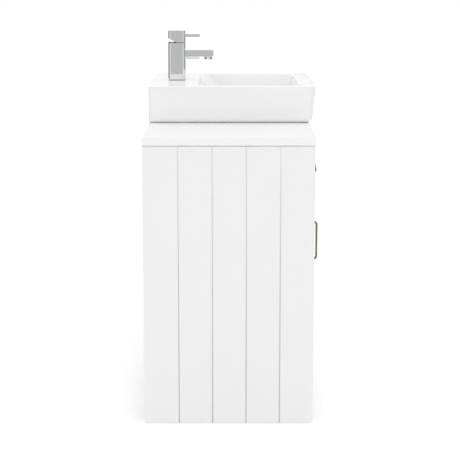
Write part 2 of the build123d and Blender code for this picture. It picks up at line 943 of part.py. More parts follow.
def tap_seals():
    """Square seal under the body and round washer under the ledge."""
    half = tap_side / 2 - tap_seal_setback
    upper = block((-half, half), (y_tap - half, y_tap + half), (z_rim, z_rim + tap_seal_thickness))
    upper -= upright(0, y_tap, (z_rim - hidden, z_rim + tap_seal_thickness + hidden), shank_radius)
    lower = ring((hollow_top - tap_washer_thickness, hollow_top), tap_washer_radius, shank_radius, y_tap)
    return group(upper, lower)


def tap_shank():
    """Threaded tube under the tap."""
    top = tap_levels()[0] + shank_bite
    return ring((top - shank_length, top), shank_radius, shank_radius - shank_wall, y_tap)


def tap_backnut():
    """Hexagonal nut under the tap's washer."""
    top = hollow_top - tap_washer_thickness
    z = (top - tap_nut_height, top)
    nut = hexagon(0, y_tap, z, tap_nut_across)
    return nut - upright(0, y_tap, (z[0] - hidden, z[1] + hidden), shank_radius)


def aerator_y():
    return y_tap - tap_side / 2 - spout_reach + aerator_from_tip


def spout():
    """Flat spout with a stepped keel near the body and a waterway to the aerator."""
    low, top = spout_levels()
    y_root = y_tap - tap_side / 2
    bar = block((-spout_half_width, spout_half_width), (y_root - spout_reach, y_root), (low, top))
    bar = soften(bar, lambda at: abs(at.Y - y_root) > 0.1 and abs(at.Z - (low + top) / 2) > 0.1, edge_round)
    step = low - keel_slope
    root = spout_half_width - keel_margin
    keel = [(keel_half_width, low - keel_depth), (keel_half_width, step)]
    right = keel + [(root, low), (root, low + keel_margin)]
    points = right + [(-x, z) for x, z in reversed(right)]
    face = Plane.XZ * make_face(Polyline(*points, close=True))
    bar += Pos(0, y_root, 0) * extrude(face, amount=keel_length)
    bar -= inward(0, (aerator_y(), y_root + hidden), (low + top) / 2, waterway_radius)
    bar -= upright(0, aerator_y(), (low - hidden, (low + top) / 2), aerator_neck_radius)
    return bar


def aerator():
    """Round outlet with a neck inside the spout and a screen across its bore."""
    low = spout_levels()[0]
    body = upright(0, aerator_y(), (low - aerator_drop, low), aerator_radius)
    body = fillet(body.edges().group_by(Axis.Z)[0], aerator_round)
    body += upright(0, aerator_y(), (low, low + aerator_neck), aerator_neck_radius)
    bore = aerator_bore_radius
    body -= upright(0, aerator_y(), (low - aerator_drop - hidden, low + aerator_neck + hidden), bore)
    middle = low - aerator_drop / 2
    overlap = (aerator_neck_radius - bore) / 2
    return body + upright(0, aerator_y(), (middle, middle + aerator_screen), bore + overlap)


def cartridge():
    """Cartridge housing with a round pocket for its turret."""
    top = tap_levels()[1] - cartridge_nut_drop
    body = upright(0, y_tap, (top - cartridge_height, top), cartridge_radius - swivel_clearance)
    floor = tap_levels()[1] + turret_rise - turret_depth
    return body - upright(0, y_tap, (floor, top + hidden), turret_radius + swivel_clearance)


def cartridge_nut():
    """Ring nut that holds the cartridge down."""
    low = tap_levels()[1] - cartridge_nut_drop
    z = (low, low + cartridge_nut_height)
    nut = ring(z, cartridge_nut_radius - swivel_clearance, turret_radius + swivel_clearance, y_tap)
    return chamfer(nut.edges().group_by(Axis.Z)[-1].sort_by(SortBy.LENGTH)[-1:], cartridge_nut_bevel)


def cartridge_turret():
    """Slotted turret with the cross pin on which the lever's stem tips."""
    top = tap_levels()[1] + turret_rise
    low = top - turret_depth
    turret = upright(0, y_tap, (low + swivel_clearance, top), turret_radius)
    half = stem_side / 2 + stem_slot_gap
    floor = lift_axis_z() - math.hypot(stem_below_pivot, stem_side / 2) - stem_floor_gap
    turret -= block((-half, half), (y_tap - turret_radius, y_tap + turret_radius), (floor, top + hidden))
    pin_half = turret_radius - lift_pin_inset
    turret -= across((-pin_half, pin_half), y_tap, lift_axis_z(), lift_pin_radius)
    return group(turret, across((-pin_half, pin_half), y_tap, lift_axis_z(), lift_pin_radius))


def head_levels():
    low = tap_levels()[1] + head_gap
    return (low, low + head_height)


def lever_stem():
    """Square stem from the cross pin up into the head."""
    half = stem_side / 2
    z = (lift_axis_z() - stem_below_pivot, head_levels()[0] + stem_in_head)
    stem = block((-half, half), (y_tap - half, y_tap + half), z)
    return stem - across((-stem_side, stem_side), y_tap, lift_axis_z(), lift_pin_radius + swivel_clearance)


def lever_middle():
    return head_levels()[1] - lever_drop - lever_height / 2


def lever_head():
    """Square head, notched at the back of its underside so that it can tip."""
    low, top = head_levels()
    head = square_column(tap_side, y_tap, (low, top))
    head = soften(head, lambda at: abs(at.Z - top) < 0.1, edge_round)
    half = tap_side / 2 + hidden
    rise = head_notch * half / (half - hidden)
    notch = [(y_tap, low), (y_tap + half, low + rise), (y_tap + half, low - hidden), (y_tap, low - hidden)]
    head -= side_prism(notch, (-half, half))
    pocket = stem_side / 2
    head -= block((-pocket, pocket), (y_tap - pocket, y_tap + pocket), (low - hidden, low + stem_in_head))
    y_front = y_tap - tap_side / 2
    return head - inward(0, (y_front - hidden, y_front + lever_tenon), lever_middle(), lever_tenon_radius)


def lever_bar():
    """Flat lever with a round tenon in the head."""
    y_front = y_tap - tap_side / 2
    middle = lever_middle()
    bar = block((-lever_half_width, lever_half_width), (y_front - lever_reach, y_front),
                (middle - lever_height / 2, middle + lever_height / 2))
    bar = soften(bar, lambda at: abs(at.Y - y_front) > 0.1, edge_round)
    return bar + inward(0, (y_front - hidden, y_front + lever_tenon), middle, lever_tenon_radius)


door_names = ["door_left", "door_middle", "door_right"]
parts = {
    "side_panel_left": side_panel(-1),
    "side_panel_right": side_panel(1),
    "back_panel": back_panel(),
    "back_rail": back_rail(),
    "base_panel": block((-x_inner, x_inner), (y_inner, y_back), (base_top - board, base_top)),
    "deck_panel": deck_panel(),
    "partitions": group(partition(-1), partition(1)),
    "plinth_board": block((-x_inner, x_inner), (y_face + plinth_setback, y_face + plinth_setback + board),
                          (0, base_top - board)),
    "top_rail": rail(z_drawer_top, carcass_height),
    "mid_rail": drilled_for_pivots(rail(z_door_top, z_drawer_low),
                                   (z_door_top, z_door_top + pivot_rail_bite)),
    "bottom_rail": drilled_for_pivots(rail(base_top - bottom_rail_height, base_top),
                                      (base_top - pivot_rail_bite, base_top)),
    "frame_stiles": both_sides(block((x_stile - stile_width / 2, x_stile + stile_width / 2),
                                     (y_face, y_inner), (base_top, z_door_top))),
    "shelves": both_sides(shelf()),
    "shelf_pins": shelf_pins(),
    "pivot_pins": pivot_pins(),
    "magnetic_catches": magnetic_catches(),
    "runner_rails": both_sides(runner_rail()),
    "worktop": worktop(),
    "basin": basin(),
    "overflow_ring": overflow_ring(),
    "waste_body": waste_body(),
    "waste_seals": waste_seals(),
    "waste_nut": waste_nut(),
    "waste_plug": waste_plug(),
    "tap_body": tap_body(),
    "tap_seals": tap_seals(),
    "tap_shank": tap_shank(),
    "tap_backnut": tap_backnut(),
    "spout": spout(),
    "aerator": aerator(),
    "cartridge": cartridge(),
    "cartridge_nut": cartridge_nut(),
    "cartridge_turret": cartridge_turret(),
    "lever_stem": lever_stem(),
    "lever_head": lever_head(),
    "lever_bar": lever_bar(),
    "drawer_front": drawer_front(),
    "drawer_sides": both_sides(drawer_side()),
    "drawer_rear": drawer_rear(),
    "drawer_base": drawer_base(),
    "runner_slides": both_sides(runner_slide()),
    "cup_handle_left": cup_handle(cup_places()[0]),
    "cup_handle_right": cup_handle(cup_places()[1]),
    "cup_screws": group(*[screw(x, z, y_inner) for x, z in cup_screw_places()]),
}
for name, centre, side in zip(door_names, door_centres(), hinge_sides()):
    parts[name + "_frame"] = door_frame(centre, side)
    parts[name + "_panel"] = door_panel(centre)
    parts[name + "_handle"] = d_handle(door_handle_x(centre, side))
    parts[name + "_bushes"] = door_bushes(centre, side)
    parts[name + "_fixings"] = door_fixings(centre, side)

os.makedirs("parts", exist_ok=True)
for name, shape in parts.items():
    export_step(shape, f"parts/{name}.step")
print(len(parts), "nodes, depth", round(overall_depth, 2), "top", round(head_levels()[1], 2))
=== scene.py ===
import json
from math import atan2, cos, degrees, pi, radians, sin

import bmesh
import bpy
from bpy.props import FloatProperty, FloatVectorProperty, IntProperty, PointerProperty
from bpy.types import Operator, Panel, PropertyGroup
from mathutils import Matrix, Vector

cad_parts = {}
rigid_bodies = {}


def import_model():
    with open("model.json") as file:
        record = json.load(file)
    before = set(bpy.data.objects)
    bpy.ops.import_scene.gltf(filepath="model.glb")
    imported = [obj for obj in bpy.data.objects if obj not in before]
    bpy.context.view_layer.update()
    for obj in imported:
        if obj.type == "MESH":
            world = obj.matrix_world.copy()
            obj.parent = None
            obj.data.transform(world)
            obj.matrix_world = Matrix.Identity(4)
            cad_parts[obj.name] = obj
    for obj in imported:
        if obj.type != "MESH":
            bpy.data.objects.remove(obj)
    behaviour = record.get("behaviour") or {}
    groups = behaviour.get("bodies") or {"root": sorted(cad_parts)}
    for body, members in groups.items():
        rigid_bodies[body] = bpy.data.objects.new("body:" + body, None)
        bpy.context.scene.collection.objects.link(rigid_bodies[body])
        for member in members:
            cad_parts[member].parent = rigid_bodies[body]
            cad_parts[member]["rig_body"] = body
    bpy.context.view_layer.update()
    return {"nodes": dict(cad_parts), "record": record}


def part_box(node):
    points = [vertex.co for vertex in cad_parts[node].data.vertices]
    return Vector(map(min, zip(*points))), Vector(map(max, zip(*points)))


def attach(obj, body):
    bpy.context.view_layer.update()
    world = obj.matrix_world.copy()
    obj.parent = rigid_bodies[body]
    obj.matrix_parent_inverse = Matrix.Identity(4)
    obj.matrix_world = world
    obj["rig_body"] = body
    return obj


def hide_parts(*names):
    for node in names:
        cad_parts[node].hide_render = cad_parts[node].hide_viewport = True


bl_info = {
    "name": "Planked vanity unit",
    "version": (1, 0, 0),
    "blender": (4, 5, 0),
    "location": "View3D > Sidebar > Vanity",
    "description": "Dresses a planked vanity unit with a ledge-back basin, a lever tap and brass handles",
    "category": "Object",
}

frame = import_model()

MM = 0.001
MERGE = 0.01 * MM
FLAT_ANGLE = radians(1)
SHARP_ANGLE = radians(30)
SMOOTH_ANGLE = radians(42)
ROUND_PROFILE = 0.5
DOORS = ("door_left", "door_middle", "door_right")
LAMP_SIZE = 3.0
LAMP_PLACE = (0, -0.2, 3.4)
FLOOR_REACH = 30
# Cards by the studio value that gives their level, with their directions and half widths in degrees
CARDS = (
    ("grey_card", (0, 90, 180, 270), 8),
    ("corner_card", (45, 135, 225, 315), 7),
    ("dark_card", (25, 64, 116, 244, 296, 335), 12),
)


def length(name, description, millimetres):
    """A length property whose default is written in millimetres."""
    return FloatProperty(name=name, description=description, default=millimetres * MM, min=0, precision=5,
                         subtype="DISTANCE", unit="LENGTH")


def tint(name, description, colour):
    """A colour property."""
    return FloatVectorProperty(name=name, description=description, default=colour, size=3, min=0, max=1,
                               subtype="COLOR")


def number(name, description, value, least=0):
    """A plain number property."""
    return FloatProperty(name=name, description=description, default=value, min=least)


# Sizes and colours that a user would change

class BoardSizes(PropertyGroup):
    """Painted and inner boards."""
    painted_round: length("Painted round", "Radius of the paint-softened edges", 0.8)
    groove_wall: length("Groove wall", "Widest wall of a groove that gathers shade", 5)
    gap_height: length("Gap height", "Height of the shadow gap under the worktop", 3.5)
    gap_depth: length("Gap depth", "Depth of the shadow gap under the worktop", 2.5)
    inner_round: length("Inner round", "Radius of the edges of the inner boards", 0.4)
    hardware_round: length("Hardware round", "Radius of the edges of steel and nylon fittings", 0.25)
    round_steps: IntProperty(name="Round steps", description="Faces across a rounded edge", default=2, min=1)


class BasinSizes(PropertyGroup):
    """Ceramic basin, its overflow and its waste."""
    draft: length("Draft", "How far the walls lean in from rim to foot", 9)
    foot_height: length("Foot height", "Height of the undercut above the worktop", 6)
    foot_inset: length("Foot inset", "Depth of the undercut at the front", 16)
    foot_side_inset: length("Foot side inset", "Depth of the undercut at the sides", 9)
    corner_radius: length("Corner radius", "Radius of the upright corners", 14)
    rim_round: length("Rim round", "Radius of the outer edge of the rim", 4)
    mouth_round: length("Mouth round", "Radius of the rim's edge into the bowl", 6)
    knee_round: length("Knee round", "Radius between wall and undercut", 5)
    ledge: length("Tap ledge", "Depth of the ledge behind the bowl", 136)
    front_rim: length("Front rim", "Depth of the rim in front of the bowl", 45)
    side_rim: length("Side rim", "Width of the rim beside the bowl", 32)
    bowl_depth: length("Bowl depth", "Depth of the bowl below the rim", 78)
    back_slope: length("Back slope", "Run of the bowl's back wall", 80)
    front_slope: length("Front slope", "Run of the bowl's front wall", 24)
    side_slope: length("Side slope", "Run of the bowl's side walls", 34)
    bowl_corner: length("Bowl corner", "Radius of the bowl's corners", 30)
    floor_round: length("Floor round", "Radius between the bowl's walls and floor", 17)
    floor_fall: length("Floor fall", "Fall of the floor towards the waste", 2)
    waste_hole: length("Waste hole", "Radius of the hole for the waste", 23)
    waste_seat: length("Waste seat", "Radius of the flat seat round the waste hole", 34)
    overflow_drop: length("Overflow drop", "Height of the overflow's middle below the rim", 13)
    overflow_hole: length("Overflow hole", "Radius of the overflow's hole", 11)
    corner_steps: IntProperty(name="Corner steps", description="Faces across an upright corner", default=10,
                              min=2)


class TapSizes(PropertyGroup):
    """Square lever tap."""
    corner_round: length("Corner round", "Radius of the column's upright edges", 7)
    edge_round: length("Edge round", "Radius of the crisp chrome edges", 0.6)
    top_round: length("Top round", "Radius of the head's top edge", 1.2)
    recess_radius: length("Recess radius", "Radius of the recess for the ring nut", 19)
    bore_radius: length("Bore radius", "Radius of the bore for the cartridge", 17)
    recess_depth: length("Recess depth", "Depth of the recess for the ring nut", 2)
    bore_depth: length("Bore depth", "Depth of the bore for the cartridge", 42)
    gap_shade_gasket_inset: length("Gasket inset", "How far the black gasket stays inside the column's edge", 0.6)
    gap_shade_gasket_height: length("Gasket height", "Thickness of the black gasket on the column", 1.2)
    skirt_drop: length("Skirt drop", "How far the head's skirt comes down over the ring nut", 4.2)
    notch: length("Notch", "Height of the notch at the back of the head's skirt", 12.2)
    hollow_radius: length("Hollow radius", "Radius of the hollow that clears the ring nut", 21)
    hollow_height: length("Hollow height", "Height of the hollow above the skirt", 6)
    tip_round: length("Tip round", "Radius of the spout's tip", 4)
    keel_length: length("Keel length", "Length of the step under the spout", 42)
    keel_half_width: length("Keel half width", "Half width of the step under the spout", 11)
    keel_depth: length("Keel depth", "Depth of the step under the spout", 8.5)
    spout_height: length("Spout height", "Height of the flat spout", 20)
    screen_bore: length("Screen bore", "Radius inside the aerator", 9)


class HandleSizes(PropertyGroup):
    """Cup handles and D handles."""
    cup_wall: length("Cup wall", "Thickness of the cup's shell", 2.2)
    cup_lip: length("Cup lip", "Radius of the bead along the cup's lip", 1.6)
    bar_round: length("Bar round", "Radius of the D handle's edges", 1.1)
    bar_width: length("Bar width", "Width of the D handle's bar", 9)
    bar_thickness: length("Bar thickness", "Thickness of the D handle's bar", 5.5)
    bar_chamfer: length("Bar chamfer", "Run of the D handle's slanted corners", 20)
    foot_radius: length("Foot radius", "Radius of the D handle's feet", 5.5)
    foot_height: length("Foot height", "Height of the D handle's feet", 6)


class Finishes(PropertyGroup):
    """Colours of the finishes."""
    paint: tint("Paint", "Satin paint on the planked boards", (0.895, 0.895, 0.895))
    worktop: tint("Worktop", "Satin lacquer on the worktop", (0.935, 0.935, 0.935))
    inner: tint("Inner boards", "Melamine inside the unit", (0.84, 0.84, 0.835))
    glaze: tint("Glaze", "Gloss glaze on the basin", (0.905, 0.905, 0.905))
    chrome: tint("Chrome", "Polished chrome plate", (0.78, 0.785, 0.79))
    aged_brass: tint("Aged brass", "Dark aged brass of the handles", (0.26, 0.235, 0.17))
    cup_brass: tint("Cup brass", "Darker aged brass of the cup handles", (0.075, 0.066, 0.052))
    raw_brass: tint("Raw brass", "Turned brass nuts and shanks", (0.68, 0.52, 0.26))
    zinc: tint("Zinc", "Zinc-plated steel fittings", (0.6, 0.615, 0.63))
    nylon: tint("Nylon", "White moulded nylon", (0.82, 0.82, 0.8))
    rubber: tint("Rubber", "Black rubber seals", (0.05, 0.05, 0.05))


class Studio(PropertyGroup):
    """Camera, lamps, floor and reflection cards."""
    camera_distance: length("Camera distance", "From the near side panel to the camera", 3200)
    camera_height: length("Camera height", "Height of the camera above the floor", 1216.8)
    camera_from_wall: length("Camera from wall", "From the wall plane to the camera", 227.7)
    camera_pitch: FloatProperty(name="Camera pitch", description="How far the camera looks down",
                                default=radians(9.42), subtype="ANGLE", unit="ROTATION")
    lens: number("Lens", "Focal length on a 36 mm wide sensor", 98.37, 1)
    shift: number("Shift", "Vertical shift of the lens", -0.1304, -1)
    sky: number("Sky", "Level of the light from all round", 1.0)
    top_lamp: number("Top lamp", "Power of the lamp overhead", 5)
    floor: tint("Floor", "Colour of the floor", (0.93, 0.93, 0.93))
    floor_lift: number("Floor lift", "What brings the open floor to white", 0.2)
    grey_card: number("Grey card", "Level of the cards square to the unit", 0.62)
    corner_card: number("Corner card", "Level of the cards on the diagonals", 0.5)
    dark_card: number("Dark card", "Level of the cards between them", 0.05)
    card_distance: length("Card distance", "From the tap to the cards", 1900)
    card_height: length("Card height", "Height of the cards", 1000)


def sizes(group):
    """One of the property groups above, as the scene holds it."""
    return getattr(bpy.context.scene, "vanity_" + group)


# Shader helpers

def value_noise(tree, place, scale, detail):
    """Noise over a place vector."""
    noise = tree.nodes.new("ShaderNodeTexNoise")
    noise.inputs["Scale"].default_value = scale
    noise.inputs["Detail"].default_value = detail
    tree.links.new(place, noise.inputs["Vector"])
    return noise.outputs["Fac"]


def ramp(tree, value, low, high, out_low=0.0, out_high=1.0):
    """Value stretched from one range to another, held at its ends."""
    node = tree.nodes.new("ShaderNodeMapRange")
    for socket, number in zip(node.inputs[1:5], (low, high, out_low, out_high)):
        socket.default_value = number
    tree.links.new(value, node.inputs[0])
    return node.outputs[0]


def maths(tree, operation, first, second):
    """One step of arithmetic on sockets or numbers."""
    node = tree.nodes.new("ShaderNodeMath")
    node.operation = operation
    for socket, term in zip(node.inputs, (first, second)):
        if isinstance(term, (int, float)):
            socket.default_value = term
        else:
            tree.links.new(term, socket)
    return node.outputs[0]


def blend_colours(tree, mask, first, second):
    """Mix of two colours, or of a colour and a socket, by a mask."""
    node = tree.nodes.new("ShaderNodeMix")
    node.data_type = "RGBA"
    tree.links.new(mask, node.inputs[0])
    for socket, colour in ((node.inputs[6], first), (node.inputs[7], second)):
        if isinstance(colour, bpy.types.NodeSocket):
            tree.links.new(colour, socket)
        else:
            socket.default_value = (*colour, 1)
    return node.outputs[2]


def shaded(colour, share):
    """The same colour at a share of its lightness."""
    return tuple(part * share for part in colour)


def group_tree(name, inputs, outputs):
    """Empty node group with float inputs, given as name and default, and named float outputs."""
    tree = bpy.data.node_groups.new(name, "ShaderNodeTree")
    tree.interface.new_socket("Place", in_out="INPUT", socket_type="NodeSocketVector")
    for label, default in inputs:
        socket = tree.interface.new_socket(label, in_out="INPUT", socket_type="NodeSocketFloat")
        socket.default_value = default
    for label in outputs:
        tree.interface.new_socket(label, in_out="OUTPUT", socket_type="NodeSocketFloat")
    return tree, tree.nodes.new("NodeGroupInput"), tree.nodes.new("NodeGroupOutput")


def scaled_place(tree, start, label):
    """The group's place multiplied by one of its inputs."""
    node = tree.nodes.new("ShaderNodeVectorMath")
    node.operation = "SCALE"
    tree.links.new(start.outputs["Place"], node.inputs[0])
    tree.links.new(start.outputs[label], node.inputs["Scale"])
    return node.outputs[0]


def build_stipple():
    """Fine skin of a sprayed, rolled or moulded surface, and its slow unevenness."""
    tree, start, end = group_tree("surface_stipple", [("Grain", 900.0), ("Drift", 6.0)], ["Height", "Tone"])
    fine = value_noise(tree, scaled_place(tree, start, "Grain"), 1.0, 3.0)
    slow = value_noise(tree, scaled_place(tree, start, "Drift"), 1.0, 2.0)
    tree.links.new(fine, end.inputs["Height"])
    tree.links.new(ramp(tree, slow, 0.15, 0.85), end.inputs["Tone"])
    return tree


def build_scratches():
    """Fine lines along one direction, made by stretching the noise."""
    tree, start, end = group_tree("fine_scratches", [("Along", 40.0), ("Across", 4000.0)], ["Height", "Tone"])
    apart = tree.nodes.new("ShaderNodeSeparateXYZ")
    tree.links.new(start.outputs["Place"], apart.inputs[0])
    joined = tree.nodes.new("ShaderNodeCombineXYZ")
    for axis, label in enumerate(("Across", "Along", "Across")):
        stretched = maths(tree, "MULTIPLY", apart.outputs[axis], start.outputs[label])
        tree.links.new(stretched, joined.inputs[axis])
    lines = value_noise(tree, joined.outputs[0], 1.0, 4.0)
    tree.links.new(lines, end.inputs["Height"])
    tree.links.new(ramp(tree, lines, 0.3, 0.7), end.inputs["Tone"])
    return tree


def build_patina():
    """Blotches of tarnish, from bare to dark."""
    tree, start, end = group_tree("patina", [("Blotch", 90.0), ("Speck", 700.0)], ["Tarnish", "Height"])
    blotch = value_noise(tree, scaled_place(tree, start, "Blotch"), 1.0, 5.0)
    speck = value_noise(tree, scaled_place(tree, start, "Speck"), 1.0, 3.0)
    both = maths(tree, "ADD", maths(tree, "MULTIPLY", blotch, 0.7), maths(tree, "MULTIPLY", speck, 0.3))
    tree.links.new(ramp(tree, both, 0.38, 0.62), end.inputs["Tarnish"])
    tree.links.new(speck, end.inputs["Height"])
    return tree


def build_bloom():
    """Faint dried-water bloom that dulls a gloss a little."""
    tree, start, end = group_tree("water_bloom", [("Spread", 25.0), ("Edge", 0.08)], ["Bloom"])
    cloud = value_noise(tree, scaled_place(tree, start, "Spread"), 1.0, 6.0)
    away = maths(tree, "ABSOLUTE", maths(tree, "SUBTRACT", cloud, 0.5), 0.0)
    inside = maths(tree, "SUBTRACT", start.outputs["Edge"], away)
    tree.links.new(ramp(tree, inside, 0.0, 0.08), end.inputs["Bloom"])
    return tree


EFFECTS = {
    "surface_stipple": build_stipple,
    "fine_scratches": build_scratches,
    "patina": build_patina,
    "water_bloom": build_bloom,
}


class Finish:
    """A material under construction: its tree, its shader and its object coordinates."""

    def __init__(self, name, colour, roughness, metallic=0.0):
        self.material = bpy.data.materials.new(name)
        self.material.use_nodes = True
        self.material.diffuse_color = (*colour, 1)
        self.tree = self.material.node_tree
        self.shader = next(n for n in self.tree.nodes if n.type == "BSDF_PRINCIPLED")
        self.place = self.tree.nodes.new("ShaderNodeTexCoord").outputs["Object"]
        self.colour = colour
        self.set("Base Color", (*colour, 1))
        self.set("Roughness", roughness)
        self.set("Metallic", metallic)

    def set(self, socket, value):
        """Write a constant on the shader's own socket."""
        self.shader.inputs[socket].default_value = value

    def effect(self, name, **values):
        """Place a shared effect with its own values and return its outputs."""
        node = self.tree.nodes.new("ShaderNodeGroup")
        node.node_tree = bpy.data.node_groups.get(name) or EFFECTS[name]()
        self.tree.links.new(self.place, node.inputs["Place"])
        for label, value in values.items():
            node.inputs[label].default_value = value
        return node.outputs

    def link(self, output, socket):
        """Feed one of the shader's sockets."""
        self.tree.links.new(output, self.shader.inputs[socket])

    def bump(self, height, depth, strength=1.0):
        """Relief of a depth in metres on the shader's normal."""
        node = self.tree.nodes.new("ShaderNodeBump")
        node.inputs["Distance"].default_value = depth
        node.inputs["Strength"].default_value = strength
        self.tree.links.new(height, node.inputs["Height"])
        self.tree.links.new(node.outputs[0], self.shader.inputs["Normal"])

    def tone(self, mask, share):
        """Base colour that drops to a share of its lightness where the mask is one."""
        self.link(blend_colours(self.tree, mask, self.colour, shaded(self.colour, share)), "Base Color")

    def roughness(self, mask, low, high):
        """Roughness between two values by a mask."""
        self.link(ramp(self.tree, mask, 0.0, 1.0, low, high), "Roughness")


def one_effect(name, colour, metallic, effect, mask, share, low, high, depth, **values):
    """Finish whose tone, roughness and relief all follow one shared effect; the depth is in millimetres."""
    finish = Finish(name, colour, (low + high) / 2, metallic)
    skin = finish.effect(effect, **values)
    finish.tone(skin[mask], share)
    finish.roughness(skin[mask], low, high)
    finish.bump(skin["Height"], depth * MM)
    return finish.material


# One function for each finish

def painted_board(name, colour):
    """Satin paint sprayed on board, with painted shade that darkens the bottoms of narrow grooves."""
    finish = Finish(name, colour, 0.42)
    skin = finish.effect("surface_stipple", Grain=650.0, Drift=5.0)
    even = blend_colours(finish.tree, skin["Tone"], colour, shaded(colour, 0.985))
    # Painted shade: the paint drops to 0.66 of its lightness where the vertex mask of narrow groove bottoms is
    # one.
    crevice = finish.tree.nodes.new("ShaderNodeAttribute")
    crevice.attribute_name = "crevice"
    finish.link(blend_colours(finish.tree, crevice.outputs["Fac"], even, shaded(colour, 0.66)), "Base Color")
    finish.roughness(skin["Tone"], 0.38, 0.46)
    finish.bump(skin["Height"], 0.02 * MM)
    finish.set("Specular IOR Level", 0.4)
    return finish.material


def worktop_board(name, colour):
    """Smoother satin lacquer."""
    return one_effect(name, colour, 0.0, "surface_stipple", "Tone", 0.985, 0.28, 0.34, 0.012, Grain=450.0,
                      Drift=4.0)


def inner_board(name, colour):
    """Pressed melamine with a fine pearl grain."""
    return one_effect(name, colour, 0.0, "surface_stipple", "Tone", 0.97, 0.46, 0.56, 0.05, Grain=1400.0,
                      Drift=9.0)


def glazed_basin(name, colour):
    """Gloss glaze over white ceramic, with a faint ripple and bloom."""
    finish = Finish(name, colour, 0.09)
    skin = finish.effect("surface_stipple", Grain=60.0, Drift=7.0)
    bloom = finish.effect("water_bloom", Spread=18.0)
    finish.tone(skin["Tone"], 0.99)
    finish.roughness(bloom["Bloom"], 0.07, 0.13)
    finish.bump(skin["Height"], 0.08 * MM, 0.35)
    finish.set("Coat Weight", 0.25)
    finish.set("Coat Roughness", 0.04)
    return finish.material


def chrome(name, colour):
    """Polished chrome with faint wiping marks."""
    finish = Finish(name, colour, 0.05, 1.0)
    bloom = finish.effect("water_bloom", Spread=45.0, Edge=0.06)
    lines = finish.effect("fine_scratches", Along=60.0, Across=1500.0)
    mask = maths(finish.tree, "MULTIPLY", bloom["Bloom"], lines["Tone"])
    finish.roughness(mask, 0.035, 0.1)
    finish.tone(bloom["Bloom"], 0.975)
    return finish.material


def aged_brass(name, colour):
    """Dark aged brass with lighter rubbed patches."""
    return one_effect(name, colour, 1.0, "patina", "Tarnish", 0.55, 0.3, 0.52, 0.03, Blotch=140.0, Speck=1500.0)


def raw_brass(name, colour):
    """Turned brass with tool marks."""
    return one_effect(name, colour, 1.0, "fine_scratches", "Tone", 0.85, 0.26, 0.42, 0.02, Along=200.0,
                      Across=2600.0)


def zinc_steel(name, colour):
    """Rolled zinc-plated steel."""
    finish = Finish(name, colour, 0.35, 1.0)
    lines = finish.effect("fine_scratches", Along=25.0, Across=3000.0)
    spangle = finish.effect("patina", Blotch=160.0, Speck=900.0)
    finish.tone(spangle["Tarnish"], 0.88)
    finish.roughness(lines["Tone"], 0.28, 0.44)
    finish.bump(lines["Height"], 0.01 * MM)
    return finish.material


def nylon(name, colour):
    """Moulded nylon with a matt skin."""
    finish = Finish(name, colour, 0.48)
    skin = finish.effect("surface_stipple", Grain=2200.0, Drift=30.0)
    finish.tone(skin["Tone"], 0.96)
    finish.bump(skin["Height"], 0.03 * MM)
    finish.set("Subsurface Weight", 0.05)
    return finish.material


def rubber(name, colour):
    """Matt black rubber with a dusty bloom."""
    finish = Finish(name, colour, 0.8)
    skin = finish.effect("surface_stipple", Grain=1800.0, Drift=50.0)
    finish.link(blend_colours(finish.tree, skin["Tone"], colour, tuple(part + 0.03 for part in colour)),
                "Base Color")
    finish.bump(skin["Height"], 0.04 * MM)
    return finish.material


FINISHES = {
    "painted_board": (painted_board, "paint"),
    "worktop_board": (worktop_board, "worktop"),
    "inner_board": (inner_board, "inner"),
    "glazed_basin": (glazed_basin, "glaze"),
    "chrome": (chrome, "chrome"),
    "aged_brass": (aged_brass, "aged_brass"),
    "cup_brass": (aged_brass, "cup_brass"),
    "raw_brass": (raw_brass, "raw_brass"),
    "zinc_steel": (zinc_steel, "zinc"),
    "nylon": (nylon, "nylon"),
    "rubber": (rubber, "rubber"),
}
SLOTS = {part["node"]: part["material_slot"] for part in frame["record"]["subparts"]}


def finish_of(slot):
    """The material of a slot, built when it is first asked for."""
    made = bpy.data.materials.get("finish_" + slot)
    if made:
        return made
    build, colour = FINISHES[slot]
    return build("finish_" + slot, tuple(getattr(sizes("finishes"), colour)))


# Mesh helpers

def body_of(node):
    """Body that a CAD node belongs to."""
    return frame["nodes"][node]["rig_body"]


def add_even_normals(piece):
    """Keep large flat faces flat beside their rounded edges."""
    even = piece.modifiers.new("even_normals", "WEIGHTED_NORMAL")
    even.weight = 100
    even.keep_sharp = True


def place_piece(bm, name, body, slot, *nodes, finish=None):
    """Make the mesh a piece that rides on its body and stands for its nodes."""
    bmesh.ops.recalc_face_normals(bm, faces=bm.faces)
    mesh = bpy.data.meshes.new(name)
    bm.to_mesh(mesh)
    bm.free()
    mesh.shade_smooth()
    mesh.set_sharp_from_angle(angle=SMOOTH_ANGLE)
    mesh.materials.append(finish_of(finish or slot))
    piece = bpy.data.objects.new(name, mesh)
    bpy.context.scene.collection.objects.link(piece)
    add_even_normals(piece)
    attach(piece, body)
    if nodes:
        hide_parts(*nodes)
    return piece


def bevel(bm, edges, radius, steps):
    """Round edges to a radius."""
    return bmesh.ops.bevel(bm, geom=edges, offset=radius, offset_type="OFFSET", segments=steps,
                           profile=ROUND_PROFILE, affect="EDGES", clamp_overlap=True, material=-1)


def sharp_edges(bm, least=SHARP_ANGLE):
    """Edges between faces that meet at more than an angle."""
    return [edge for edge in bm.edges if edge.is_manifold and edge.calc_face_angle() > least]


def middle_of(edge):
    """Middle point of an edge."""
    return (edge.verts[0].co + edge.verts[1].co) / 2


def node_copy(node):
    """Merged copy of a CAD node's mesh with its flat faces joined."""
    bm = bmesh.new()
    bm.from_mesh(frame["nodes"][node].data)
    bmesh.ops.remove_doubles(bm, verts=bm.verts, dist=MERGE)
    bmesh.ops.dissolve_limit(bm, angle_limit=FLAT_ANGLE, verts=bm.verts, edges=bm.edges)
    return bm


